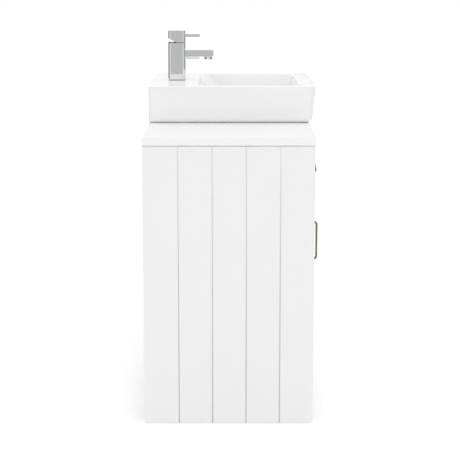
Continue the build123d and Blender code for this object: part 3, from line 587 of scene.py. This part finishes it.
def mark_groove_shade(bm):
    """Write 1 on the vertices at the bottom of narrow grooves and 0 elsewhere, as the mask of the painted shade
    in the grooves; returns the inner edges.
    """
    layer = bm.verts.layers.float.new("crevice")
    widest = sizes("boards").groove_wall
    hollow = [edge for edge in sharp_edges(bm) if not edge.is_convex]
    for edge in hollow:
        if max(face.calc_area() for face in edge.link_faces) > widest * edge.calc_length():
            continue
        for vert in edge.verts:
            vert[layer] = 1.0
    return set(hollow)


def soften_node(node, radius):
    """Stand for a CAD node with the same shape and rounded outer edges."""
    bm = node_copy(node)
    hollow = mark_groove_shade(bm)
    bevel(bm, [edge for edge in sharp_edges(bm) if edge not in hollow], radius, sizes("boards").round_steps)
    return place_piece(bm, node + "_dressed", body_of(node), SLOTS[node], node)


def add_box(bm, low, high):
    """Box between two corners; returns its vertices."""
    low, high = Vector(low), Vector(high)
    made = bmesh.ops.create_cube(bm, size=1.0)["verts"]
    bmesh.ops.scale(bm, vec=high - low, verts=made)
    bmesh.ops.translate(bm, vec=(low + high) / 2, verts=made)
    return made


def add_cylinder(bm, radius, start, end, steps=32):
    """Capped cylinder between two points; returns its vertices."""
    start, end = Vector(start), Vector(end)
    along = end - start
    turn = along.to_track_quat("Z", "Y").to_matrix().to_4x4()
    where = Matrix.Translation((start + end) / 2) @ turn
    return bmesh.ops.create_cone(bm, cap_ends=True, segments=steps, radius1=radius, radius2=radius,
                                 depth=along.length, matrix=where)["verts"]


def edges_of(verts):
    """All edges whose two ends are in a set of vertices."""
    chosen = set(verts)
    return list({edge for vert in chosen for edge in vert.link_edges if edge.other_vert(vert) in chosen})


def rounded_ring(bm, x, y, z, radius, count):
    """Circle pulled apart at its quarters into a rectangle with rounded corners."""
    half_step = pi / count
    verts = bmesh.ops.create_circle(bm, cap_ends=False, segments=count, radius=radius / cos(half_step),
                                    matrix=Matrix.Rotation(half_step, 4, "Z"))["verts"]
    for vert in verts:
        vert.co.x += x[1] - radius if vert.co.x > 0 else x[0] + radius
        vert.co.y += y[1] - radius if vert.co.y > 0 else y[0] + radius
        vert.co.z = z
    return edges_of(verts)


def round_ring(bm, centre, radius, count):
    """Ring of edges round a circle."""
    where = Matrix.Translation(centre) @ Matrix.Rotation(pi / count, 4, "Z")
    return edges_of(bmesh.ops.create_circle(bm, cap_ends=False, segments=count, radius=radius,
                                            matrix=where)["verts"])


def bridge_all(bm, rings):
    """Skin that joins each ring to the next; rings in one plane are parted while they are joined."""
    for first, second in zip(rings, rings[1:]):
        height = [ring[0].verts[0].co.z for ring in (first, second)]
        shift = 2 * MM if abs(height[0] - height[1]) < MERGE else 0
        verts = list({vert for edge in second for vert in edge.verts})
        bmesh.ops.translate(bm, vec=(0, 0, -shift), verts=verts)
        bmesh.ops.bridge_loops(bm, edges=first + second)
        bmesh.ops.translate(bm, vec=(0, 0, shift), verts=verts)


def lathe(bm, outline, steps=48):
    """Turn an outline of radius and height round the upright axis through the origin; closed at both ends."""
    verts = [bm.verts.new((radius, 0, height)) for radius, height in outline]
    edges = [bm.edges.new(pair) for pair in zip(verts, verts[1:])]
    if (outline[0][0] > 0) and (outline[-1][0] > 0):
        edges.append(bm.edges.new((verts[-1], verts[0])))
    bmesh.ops.spin(bm, geom=verts + edges, cent=(0, 0, 0), axis=(0, 0, 1), angle=2 * pi, steps=steps,
                   use_merge=True, use_duplicate=False)
    bmesh.ops.remove_doubles(bm, verts=bm.verts, dist=MERGE)
    return bm.verts[:]


def arc(centre, radius, start, end, steps):
    """Points of an arc in a plane, between two angles in degrees."""
    return [(centre[0] + radius * cos(radians(start + (end - start) * step / steps)),
             centre[1] + radius * sin(radians(start + (end - start) * step / steps)))
            for step in range(steps + 1)]


def cut_off(bm, place, normal):
    """Take off what lies beyond a plane."""
    bmesh.ops.bisect_plane(bm, geom=bm.verts[:] + bm.edges[:] + bm.faces[:], dist=MERGE, plane_co=place,
                           plane_no=normal, clear_outer=True)


def cut_with(piece, cutter):
    """Take a cutter's shape out of a piece for good."""
    tool = bpy.data.meshes.new("cutter")
    bmesh.ops.recalc_face_normals(cutter, faces=cutter.faces)
    cutter.to_mesh(tool)
    cutter.free()
    holder = bpy.data.objects.new("cutter", tool)
    bpy.context.scene.collection.objects.link(holder)
    cut = piece.modifiers.new("cut", "BOOLEAN")
    cut.operation = "DIFFERENCE"
    cut.solver = "EXACT"
    cut.object = holder
    even = piece.modifiers.get("even_normals")
    if even:
        piece.modifiers.remove(even)
    bpy.context.view_layer.update()
    shape = bpy.data.meshes.new_from_object(piece.evaluated_get(bpy.context.evaluated_depsgraph_get()))
    piece.modifiers.remove(cut)
    piece.data = shape
    shape.set_sharp_from_angle(angle=SMOOTH_ANGLE)
    add_even_normals(piece)
    bpy.data.objects.remove(holder)
    return piece


# Boards and fittings that keep their CAD shape

PAINTED = [node for node, slot in SLOTS.items() if slot in ("painted_board", "worktop_board")]
INNER = [node for node, slot in SLOTS.items() if slot == "inner_board"]


class VANITY_OT_painted_boards(Operator):
    """Dress the painted boards with paint-softened edges"""
    bl_idname = "vanity.painted_boards"
    bl_label = "Painted boards"

    def execute(self, context):
        size = sizes("boards")
        for node in PAINTED:
            piece = soften_node(node, size.painted_round)
            if node.startswith("side_panel"):
                low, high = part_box(node)
                side = 1 if high.x > 0 else -1
                outer = high.x if high.x > 0 else low.x
                x = sorted((outer - side * size.gap_depth, outer + side * MM))
                back = high.y - 4 * MM
                cutter = bmesh.new()
                add_box(cutter, (x[0], low.y - MM, high.z - size.gap_height), (x[1], back, high.z + MM))
                cut_with(piece, cutter)
        return {"FINISHED"}


class VANITY_OT_inner_boards(Operator):
    """Dress the boards inside the unit and the drawer box"""
    bl_idname = "vanity.inner_boards"
    bl_label = "Inner boards"

    def execute(self, context):
        for node in INNER:
            soften_node(node, sizes("boards").inner_round)
        return {"FINISHED"}


class VANITY_OT_fittings(Operator):
    """Give the steel, brass, nylon and rubber fittings their finishes"""
    bl_idname = "vanity.fittings"
    bl_label = "Fittings"

    def execute(self, context):
        for name, node in frame["nodes"].items():
            node.data.materials.clear()
            node.data.materials.append(finish_of(SLOTS[name]))
        return {"FINISHED"}


# Basin

def basin_space():
    """Places that the basin, the overflow and the waste share."""
    size = sizes("basin")
    low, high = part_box("basin")
    mouth_y = (low.y + size.front_rim, high.y - size.ledge)
    floor_y = (mouth_y[0] + size.front_slope, mouth_y[1] - size.back_slope)
    mouth_x = high.x - size.side_rim
    return low, high, mouth_x, mouth_y, mouth_x - size.side_slope, floor_y


def waste_centre():
    """Place of the waste in plan."""
    low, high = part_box("waste_nut")
    return (low.x + high.x) / 2, (low.y + high.y) / 2


def overflow_frame():
    """Transform from a ring lying flat at the origin to the overflow on the bowl's back wall."""
    size = sizes("basin")
    _, high, _, mouth_y, _, _ = basin_space()
    run = size.back_slope / size.bowl_depth * size.overflow_drop
    lean = atan2(size.bowl_depth, size.back_slope)
    where = Vector((0, mouth_y[1] - run, high.z - size.overflow_drop))
    return Matrix.Translation(where) @ Matrix.Rotation(lean, 4, "X")


def basin_shell():
    """Closed ceramic shell from foot to rim, over the rim into the bowl and out through the waste hole."""
    size = sizes("basin")
    low, high, mouth_x, mouth_y, floor_x, floor_y = basin_space()
    count = 4 * size.corner_steps
    bowl_z = high.z - size.bowl_depth
    waste = waste_centre()
    bm = bmesh.new()

    def wall_ring(side, front, z):
        """Outline of the outer walls at a height, set in at the sides and at the front."""
        return rounded_ring(bm, (low.x + side, high.x - side), (low.y + front, high.y), z,
                            size.corner_radius, count)

    knee_z = low.z + size.foot_height
    rings = [
        wall_ring(size.draft + size.foot_side_inset, size.draft + size.foot_inset, low.z),
        wall_ring(size.draft, size.draft, knee_z),
        wall_ring(0, 0, high.z),
        rounded_ring(bm, (-mouth_x, mouth_x), mouth_y, high.z, size.bowl_corner, count),
        rounded_ring(bm, (-floor_x, floor_x), floor_y, bowl_z + size.floor_fall, size.bowl_corner, count),
        round_ring(bm, (*waste, bowl_z), size.waste_seat, count),
        round_ring(bm, (*waste, bowl_z), size.waste_hole, count),
        round_ring(bm, (*waste, low.z), size.waste_hole, count),
    ]
    bridge_all(bm, rings + rings[:1])
    bmesh.ops.recalc_face_normals(bm, faces=bm.faces)
    bowl_edge = set(rings[4])
    bevel(bm, list(bowl_edge), size.floor_round, 6)

    def level(z, inside):
        """Edges at one height, inside or outside the bowl's mouth."""
        found = []
        for edge in bm.edges:
            if any(abs(vert.co.z - z) > 10 * MERGE for vert in edge.verts):
                continue
            place = middle_of(edge)
            within = abs(place.x) < mouth_x + MM and mouth_y[0] - MM < place.y < mouth_y[1] + MM
            if within == inside and edge.calc_face_angle() > radians(8):
                found.append(edge)
        return found

    bevel(bm, level(high.z, True), size.mouth_round, 5)
    bevel(bm, level(high.z, False), size.rim_round, 5)
    bevel(bm, level(knee_z, False), size.knee_round, 5)
    return bm


class VANITY_OT_basin(Operator):
    """Make the glazed basin with its bowl and overflow hole"""
    bl_idname = "vanity.basin"
    bl_label = "Basin"

    def execute(self, context):
        piece = place_piece(basin_shell(), "basin_glazed", "cabinet", "glazed_basin", "basin")
        cutter = bmesh.new()
        radius = sizes("basin").overflow_hole
        add_cylinder(cutter, radius, (0, 0, -radius), (0, 0, radius), 48)
        cutter.transform(overflow_frame())
        cut_with(piece, cutter)
        return {"FINISHED"}


class VANITY_OT_overflow(Operator):
    """Make the chrome overflow ring"""
    bl_idname = "vanity.overflow"
    bl_label = "Overflow ring"

    def execute(self, context):
        bm = bmesh.new()
        lip, bore, outer, tail, thickness = 15 * MM, 9 * MM, 10.8 * MM, -8 * MM, 1.8 * MM
        crown = arc((lip - thickness, 0), thickness, 0, 90, 5)
        throat = arc((bore + thickness, 0), thickness, 90, 180, 5)
        lathe(bm, [(bore, tail), (outer, tail), (outer, 0)] + crown + throat)
        bm.transform(overflow_frame())
        place_piece(bm, "overflow_ring_chrome", "cabinet", "chrome", "overflow_ring")
        return {"FINISHED"}


class VANITY_OT_waste(Operator):
    """Make the waste's crowned plug"""
    bl_idname = "vanity.waste"
    bl_label = "Waste"

    def execute(self, context):
        low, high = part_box("waste_plug")
        x, y = waste_centre()
        edge, stem, crown, rise = 29 * MM, 3 * MM, 4 * MM, 1.2 * MM
        radius = (edge ** 2 + crown ** 2) / (2 * crown)
        sweep = degrees(atan2(edge - 2 * MM, radius))
        base = high.z - crown
        dome = arc((0, high.z - radius), radius, 90 - sweep, 90, 8)
        bm = bmesh.new()
        outline = [(0, low.z), (stem, low.z), (stem, base), (edge - 1.5 * MM, base), (edge, base + 0.5 * MM),
                   (edge, base + rise)] + dome[:-1] + [(0, high.z)]
        lathe(bm, outline)
        bm.transform(Matrix.Translation((x, y, 0)))
        place_piece(bm, "waste_plug_chrome", "waste_plug", "chrome", "waste_plug")
        return {"FINISHED"}


# Tap

def column(bm, low, high, corner, edge):
    """Square column with round upright edges and crisp ends."""
    add_box(bm, low, high)
    upright = [e for e in bm.edges if abs(e.verts[0].co.z - e.verts[1].co.z) > MM]
    bevel(bm, upright, corner, 8)
    if edge:
        bevel(bm, sharp_edges(bm, radians(60)), edge, 3)


class VANITY_OT_tap_body(Operator):
    """Make the tap's square column with the recess for its cartridge, and the black gasket that gives the gap
    under the head its painted shade
    """
    bl_idname = "vanity.tap_body"
    bl_label = "Tap body"

    def execute(self, context):
        size = sizes("tap")
        low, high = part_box("tap_body")
        bm = bmesh.new()
        column(bm, low, high, size.corner_round, size.edge_round)
        piece = place_piece(bm, "tap_column", "cabinet", "chrome", "tap_body")
        cutter = bmesh.new()
        x, y = (low.x + high.x) / 2, (low.y + high.y) / 2
        nut_z = high.z - size.recess_depth
        outline = [(0, high.z - size.bore_depth), (size.bore_radius, high.z - size.bore_depth),
                   (size.bore_radius, nut_z), (size.recess_radius, nut_z), (size.recess_radius, high.z + MM),
                   (0, high.z + MM)]
        lathe(cutter, outline, 64)
        cutter.transform(Matrix.Translation((x, y, 0)))
        cut_with(piece, cutter)
        # Painted shade: a black rubber gasket on the column's top darkens the gap under the head's skirt,
        # standing in for the shade in that gap.
        inset = size.gap_shade_gasket_inset
        gap_shade_gasket = bmesh.new()
        column(gap_shade_gasket, (low.x + inset, low.y + inset, high.z),
               (high.x - inset, high.y - inset, high.z + size.gap_shade_gasket_height), size.corner_round - inset, 0)
        flat = place_piece(gap_shade_gasket, "head_gasket", "cabinet", "rubber")
        cutter = bmesh.new()
        add_cylinder(cutter, size.recess_radius, (x, y, high.z - MM), (x, y, high.z + 4 * MM), 64)
        cut_with(flat, cutter)
        return {"FINISHED"}


class VANITY_OT_spout(Operator):
    """Make the flat spout with the step under it"""
    bl_idname = "vanity.spout"
    bl_label = "Spout"

    def execute(self, context):
        size = sizes("tap")
        low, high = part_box("spout")
        bm = bmesh.new()
        add_box(bm, (low.x, low.y, high.z - size.spout_height), high)
        tip = [e for e in bm.edges if all(abs(v.co.y - low.y) < MERGE for v in e.verts)
               and abs(e.verts[0].co.x - e.verts[1].co.x) > MM]
        bevel(bm, tip, size.tip_round, 6)
        bevel(bm, [e for e in sharp_edges(bm) if middle_of(e).y < high.y - MERGE], size.edge_round * 2, 3)
        keel = bmesh.new()
        verts = add_box(keel, (-size.keel_half_width, high.y - size.keel_length, low.z),
                        (size.keel_half_width, high.y, high.z - size.spout_height + 0.3 * MM))
        upper = [v for v in verts if v.co.z > low.z + MM]
        bmesh.ops.scale(keel, vec=(1.15, 1, 1), verts=upper)
        bevel(keel, [e for e in sharp_edges(keel) if middle_of(e).z < low.z + size.keel_depth / 2
                     and middle_of(e).y < high.y - MERGE], 1.5 * MM, 4)
        place_piece(bm, "spout_bar", "cabinet", "chrome", "spout")
        place_piece(keel, "spout_keel", "cabinet", "chrome", "spout")
        return {"FINISHED"}


class VANITY_OT_aerator(Operator):
    """Make the aerator's ring and its screen"""
    bl_idname = "vanity.aerator"
    bl_label = "Aerator"

    def execute(self, context):
        bore = sizes("tap").screen_bore
        low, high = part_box("aerator")
        x, y = (low.x + high.x) / 2, (low.y + high.y) / 2
        radius = (high.x - low.x) / 2
        seat = low.z + 9 * MM
        soft = 0.8 * MM
        bm = bmesh.new()
        lip = arc((radius - soft, low.z + soft), soft, -90, 0, 4)
        groove = radius - 0.5 * MM
        outline = [(bore, low.z + soft), (bore + soft / 2, low.z)] + lip + [
            (radius, seat - 3 * MM), (groove, seat - 2.5 * MM), (groove, seat - 1.5 * MM), (radius, seat - MM),
            (radius, seat), (bore + MM, seat), (bore + MM, high.z), (bore, high.z)]
        lathe(bm, outline)
        bm.transform(Matrix.Translation((x, y, 0)))
        place_piece(bm, "aerator_ring", "cabinet", "chrome", "aerator")
        screen = bmesh.new()
        z = (low.z + 2.5 * MM, low.z + 4 * MM)
        slack, half, width = 0.1 * MM, 0.4 * MM, 0.7 * MM
        for ring in range(1, 5):
            reach = bore * ring / 4
            rib = bmesh.new()
            lathe(rib, [(reach - width, z[0]), (reach, z[0]), (reach, z[1]), (reach - width, z[1])], 36)
            part = bpy.data.meshes.new("rib")
            rib.to_mesh(part)
            rib.free()
            screen.from_mesh(part)
            bpy.data.meshes.remove(part)
        for spoke in range(6):
            verts = add_box(screen, (half, -half, z[0] + slack), (bore - slack, half, z[1] - slack))
            turn = Matrix.Rotation(radians(60 * spoke), 3, "Z")
            bmesh.ops.rotate(screen, cent=(0, 0, 0), matrix=turn, verts=verts)
        screen.transform(Matrix.Translation((x, y, 0)))
        place_piece(screen, "aerator_screen", "cabinet", "nylon")
        return {"FINISHED"}


class VANITY_OT_lever(Operator):
    """Make the tap's notched head and its flat lever"""
    bl_idname = "vanity.lever"
    bl_label = "Lever"

    def execute(self, context):
        size = sizes("tap")
        low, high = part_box("lever_head")
        low.z -= size.skirt_drop
        middle_y = (low.y + high.y) / 2
        bm = bmesh.new()
        column(bm, low, high, size.corner_round, 0)
        slope = Vector((0, size.notch, -(high.y - middle_y)))
        cut_off(bm, (0, middle_y, low.z), slope)
        bmesh.ops.holes_fill(bm, edges=[e for e in bm.edges if e.is_boundary], sides=0)
        top = [e for e in sharp_edges(bm, radians(60)) if middle_of(e).z > high.z - MERGE]
        bevel(bm, top, size.top_round, 4)
        rest = [e for e in sharp_edges(bm, radians(60)) if middle_of(e).z < high.z - 5 * MM]
        bevel(bm, rest, size.edge_round, 2)
        head = place_piece(bm, "lever_head_chrome", "tap_lever", "chrome", "lever_head")
        cutter = bmesh.new()
        top = low.z + size.skirt_drop + size.hollow_height
        add_cylinder(cutter, size.hollow_radius, (0, middle_y, low.z - MM), (0, middle_y, top), 64)
        cut_with(head, cutter)
        low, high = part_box("lever_bar")
        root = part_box("lever_head")[0].y
        bar = bmesh.new()
        add_box(bar, low, (high.x, root, high.z))
        free = [e for e in bar.edges if middle_of(e).y < root - MERGE]
        bevel(bar, free, size.top_round, 4)
        place_piece(bar, "lever_bar_chrome", "tap_lever", "chrome", "lever_bar")
        return {"FINISHED"}


# Handles

class VANITY_OT_d_handles(Operator):
    """Make the D handles of the doors"""
    bl_idname = "vanity.d_handles"
    bl_label = "D handles"

    def execute(self, context):
        size = sizes("handles")
        face_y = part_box("drawer_front")[0].y
        for door in DOORS:
            low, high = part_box(door + "_handle")
            x = (low.x + high.x) / 2
            middle = (low.z + high.z) / 2
            half = (high.z - low.z) / 2
            reach = face_y - low.y
            knee = reach - size.bar_chamfer
            thin = size.bar_thickness
            slant = thin * (2 ** 0.5 - 1)
            outer = [(0, half), (knee, half), (reach, half - size.bar_chamfer)]
            inner = [(0, half - thin), (knee - slant, half - thin),
                     (reach - thin, half - thin - (reach - thin - knee + slant))]
            points = outer + [(out, -z) for out, z in reversed(outer)]
            points += [(out, -z) for out, z in inner] + inner[::-1]
            bm = bmesh.new()
            width = size.bar_width / 2
            verts = [bm.verts.new((x - width, face_y - out, middle + z)) for out, z in points]
            face = bm.faces.new(verts)
            grown = bmesh.ops.extrude_face_region(bm, geom=[face])["geom"]
            bmesh.ops.translate(bm, vec=(2 * width, 0, 0),
                                verts=[item for item in grown if isinstance(item, bmesh.types.BMVert)])
            bmesh.ops.recalc_face_normals(bm, faces=bm.faces)
            free = [e for e in sharp_edges(bm) if middle_of(e).y < face_y - MERGE]
            bevel(bm, free, size.bar_round, 3)
            for side in (-1, 1):
                z = middle + side * (half - thin / 2)
                end_y = face_y - size.foot_height
                verts = add_cylinder(bm, size.foot_radius, (x, face_y, z), (x, end_y, z))
                ends = [e for e in edges_of(verts) if abs(middle_of(e).y - end_y) < MERGE]
                bevel(bm, ends, 0.8 * MM, 3)
            place_piece(bm, door + "_pull", door, "aged_brass", door + "_handle")
        return {"FINISHED"}


def flatten_rims(bm, face_y, lip_z):
    """Bring the shell's rims back to the front's plane and to the lip's level."""
    for vert in bm.verts:
        vert.co.y = min(vert.co.y, face_y)
        vert.co.z = max(vert.co.z, lip_z)


class VANITY_OT_cup_handles(Operator):
    """Make the cup handles of the drawer"""
    bl_idname = "vanity.cup_handles"
    bl_label = "Cup handles"

    def execute(self, context):
        size = sizes("handles")
        for side in ("left", "right"):
            node = "cup_handle_" + side
            low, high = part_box(node)
            x = (low.x + high.x) / 2
            face_y = high.y
            scale = Vector(((high.x - low.x) / 2, face_y - low.y, high.z - low.z))
            bm = bmesh.new()
            bmesh.ops.create_uvsphere(bm, u_segments=64, v_segments=32, radius=1.0)
            bmesh.ops.rotate(bm, cent=(0, 0, 0), matrix=Matrix.Rotation(pi / 2, 3, "Y"), verts=bm.verts)
            for normal in ((0, 1, 0), (0, 0, -1)):
                cut_off(bm, (0, 0, 0), normal)
            bmesh.ops.scale(bm, vec=scale, verts=bm.verts)
            bmesh.ops.recalc_face_normals(bm, faces=bm.faces)
            bmesh.ops.translate(bm, vec=(x, face_y, low.z), verts=bm.verts)
            if sum(face.normal.y for face in bm.faces) > 0:
                bmesh.ops.reverse_faces(bm, faces=bm.faces)
            bmesh.ops.solidify(bm, geom=bm.faces[:], thickness=size.cup_wall)
            flatten_rims(bm, face_y, low.z)
            lip = [e for e in sharp_edges(bm)
                   if middle_of(e).z < low.z + 0.2 * MM and middle_of(e).y < face_y - MM]
            bevel(bm, lip, 0.7 * MM, 3)
            place_piece(bm, node + "_brass", "drawer", "aged_brass", node, finish="cup_brass")
        return {"FINISHED"}


# Stage

def stage_mesh(bm, name, material):
    """Object that belongs to the stage."""
    mesh = bpy.data.meshes.new(name)
    bm.to_mesh(mesh)
    bm.free()
    mesh.materials.append(material)
    made = bpy.data.objects.new(name, mesh)
    bpy.context.scene.collection.objects.link(made)
    return made


def card(name, azimuth, half_angle, level):
    """Upright card that only reflections see, round the tap at an azimuth in degrees."""
    studio = sizes("studio")
    low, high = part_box("tap_body")
    centre = (low + high) / 2
    bm = bmesh.new()
    verts = []
    for place in arc(centre, studio.card_distance, azimuth - half_angle, azimuth + half_angle, 6):
        verts.append([bm.verts.new((*place, z)) for z in (-0.01, studio.card_height)])
    for first, second in zip(verts, verts[1:]):
        bm.faces.new((first[0], second[0], second[1], first[1]))
    material = bpy.data.materials.new(name)
    material.use_nodes = True
    tree = material.node_tree
    tree.nodes.clear()
    glow = tree.nodes.new("ShaderNodeEmission")
    glow.inputs["Color"].default_value = (level, level, level, 1)
    end = tree.nodes.new("ShaderNodeOutputMaterial")
    tree.links.new(glow.outputs[0], end.inputs["Surface"])
    made = stage_mesh(bm, name, material)
    for ray in ("camera", "diffuse", "shadow", "transmission", "volume_scatter"):
        setattr(made, "visible_" + ray, False)


def ray_mask(tree, *kinds):
    """One for the kinds of ray that are named and zero for the rest."""
    path = tree.nodes.new("ShaderNodeLightPath")
    mask = path.outputs[kinds[0]]
    for kind in kinds[1:]:
        mask = maths(tree, "MAXIMUM", mask, path.outputs[kind])
    return mask


def set_camera(scene, studio):
    """Camera to the left of the unit, tilted down with a small lens shift."""
    low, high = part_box("side_panel_left")
    data = bpy.data.cameras.new("camera")
    data.sensor_width = 36
    data.lens = studio.lens
    data.shift_y = studio.shift
    data.clip_end = 100
    camera = bpy.data.objects.new("camera", data)
    camera.location = (low.x - studio.camera_distance, high.y - studio.camera_from_wall,
                       studio.camera_height)
    camera.rotation_euler = (pi / 2 - studio.camera_pitch, 0, -pi / 2)
    scene.collection.objects.link(camera)
    scene.camera = camera


def set_sky(scene, studio):
    """White world whose light on the object has a level of its own."""
    world = bpy.data.worlds.new("studio")
    scene.world = world
    world.use_nodes = True
    tree = world.node_tree
    back = next(n for n in tree.nodes if n.type == "BACKGROUND")
    back.inputs["Color"].default_value = (1, 1, 1, 1)
    seen = ray_mask(tree, "Is Camera Ray", "Is Glossy Ray", "Is Transmission Ray")
    tree.links.new(ramp(tree, seen, 0.0, 1.0, studio.sky, 1.0), back.inputs["Strength"])


def set_lamp(scene, studio):
    """Wide lamp overhead that gives the floor its soft shadow."""
    lamp = bpy.data.lights.new("top_lamp", "AREA")
    lamp.size = LAMP_SIZE
    lamp.energy = studio.top_lamp
    holder = bpy.data.objects.new("top_lamp", lamp)
    holder.location = LAMP_PLACE
    scene.collection.objects.link(holder)


def set_floor(studio):
    """Matt floor, lifted to white where it is seen."""
    bm = bmesh.new()
    bmesh.ops.create_grid(bm, x_segments=1, y_segments=1, size=FLOOR_REACH)
    floor = bpy.data.materials.new("floor")
    floor.use_nodes = True
    tree = floor.node_tree
    shader = next(n for n in tree.nodes if n.type == "BSDF_PRINCIPLED")
    shader.inputs["Base Color"].default_value = (*studio.floor, 1)
    shader.inputs["Roughness"].default_value = 1.0
    shader.inputs["Specular IOR Level"].default_value = 0.0
    shader.inputs["Emission Color"].default_value = (1, 1, 1, 1)
    seen = ray_mask(tree, "Is Camera Ray", "Is Glossy Ray")
    tree.links.new(ramp(tree, seen, 0.0, 1.0, 0.0, studio.floor_lift), shader.inputs["Emission Strength"])
    stage_mesh(bm, "floor", floor)


class VANITY_OT_stage(Operator):
    """Set the camera, the lamps, the floor and the reflection cards"""
    bl_idname = "vanity.stage"
    bl_label = "Stage"

    def execute(self, context):
        studio = sizes("studio")
        scene = context.scene
        scene.view_settings.view_transform = "Standard"
        set_camera(scene, studio)
        set_sky(scene, studio)
        set_lamp(scene, studio)
        set_floor(studio)
        for name, azimuths, half_angle in CARDS:
            for azimuth in azimuths:
                card("%s_%d" % (name, azimuth), azimuth, half_angle, getattr(studio, name))
        return {"FINISHED"}


PIECES = (
    VANITY_OT_fittings,
    VANITY_OT_painted_boards,
    VANITY_OT_inner_boards,
    VANITY_OT_basin,
    VANITY_OT_overflow,
    VANITY_OT_waste,
    VANITY_OT_tap_body,
    VANITY_OT_spout,
    VANITY_OT_aerator,
    VANITY_OT_lever,
    VANITY_OT_d_handles,
    VANITY_OT_cup_handles,
    VANITY_OT_stage,
)


class VANITY_PT_pieces(Panel):
    """Pieces of the vanity unit"""
    bl_idname = "VANITY_PT_pieces"
    bl_label = "Vanity unit"
    bl_space_type = "VIEW_3D"
    bl_region_type = "UI"
    bl_category = "Vanity"

    def draw(self, context):
        for group in GROUPS:
            box = self.layout.box()
            box.label(text=group.capitalize())
            held = sizes(group)
            for name in held.bl_rna.properties.keys():
                if name not in ("rna_type", "name"):
                    box.prop(held, name)
        for piece in PIECES:
            self.layout.operator(piece.bl_idname)


GROUPS = {
    "boards": BoardSizes,
    "basin": BasinSizes,
    "tap": TapSizes,
    "handles": HandleSizes,
    "finishes": Finishes,
    "studio": Studio,
}


def register():
    for group, kind in GROUPS.items():
        bpy.utils.register_class(kind)
        setattr(bpy.types.Scene, "vanity_" + group, PointerProperty(type=kind))
    for kind in (*PIECES, VANITY_PT_pieces):
        bpy.utils.register_class(kind)


def unregister():
    for kind in (VANITY_PT_pieces, *reversed(PIECES)):
        bpy.utils.unregister_class(kind)
    for group, kind in GROUPS.items():
        delattr(bpy.types.Scene, "vanity_" + group)
        bpy.utils.unregister_class(kind)


def main():
    register()
    for piece in PIECES:
        space, name = piece.bl_idname.split(".")
        getattr(getattr(bpy.ops, space), name)()


if __name__ == "__main__":
    main()
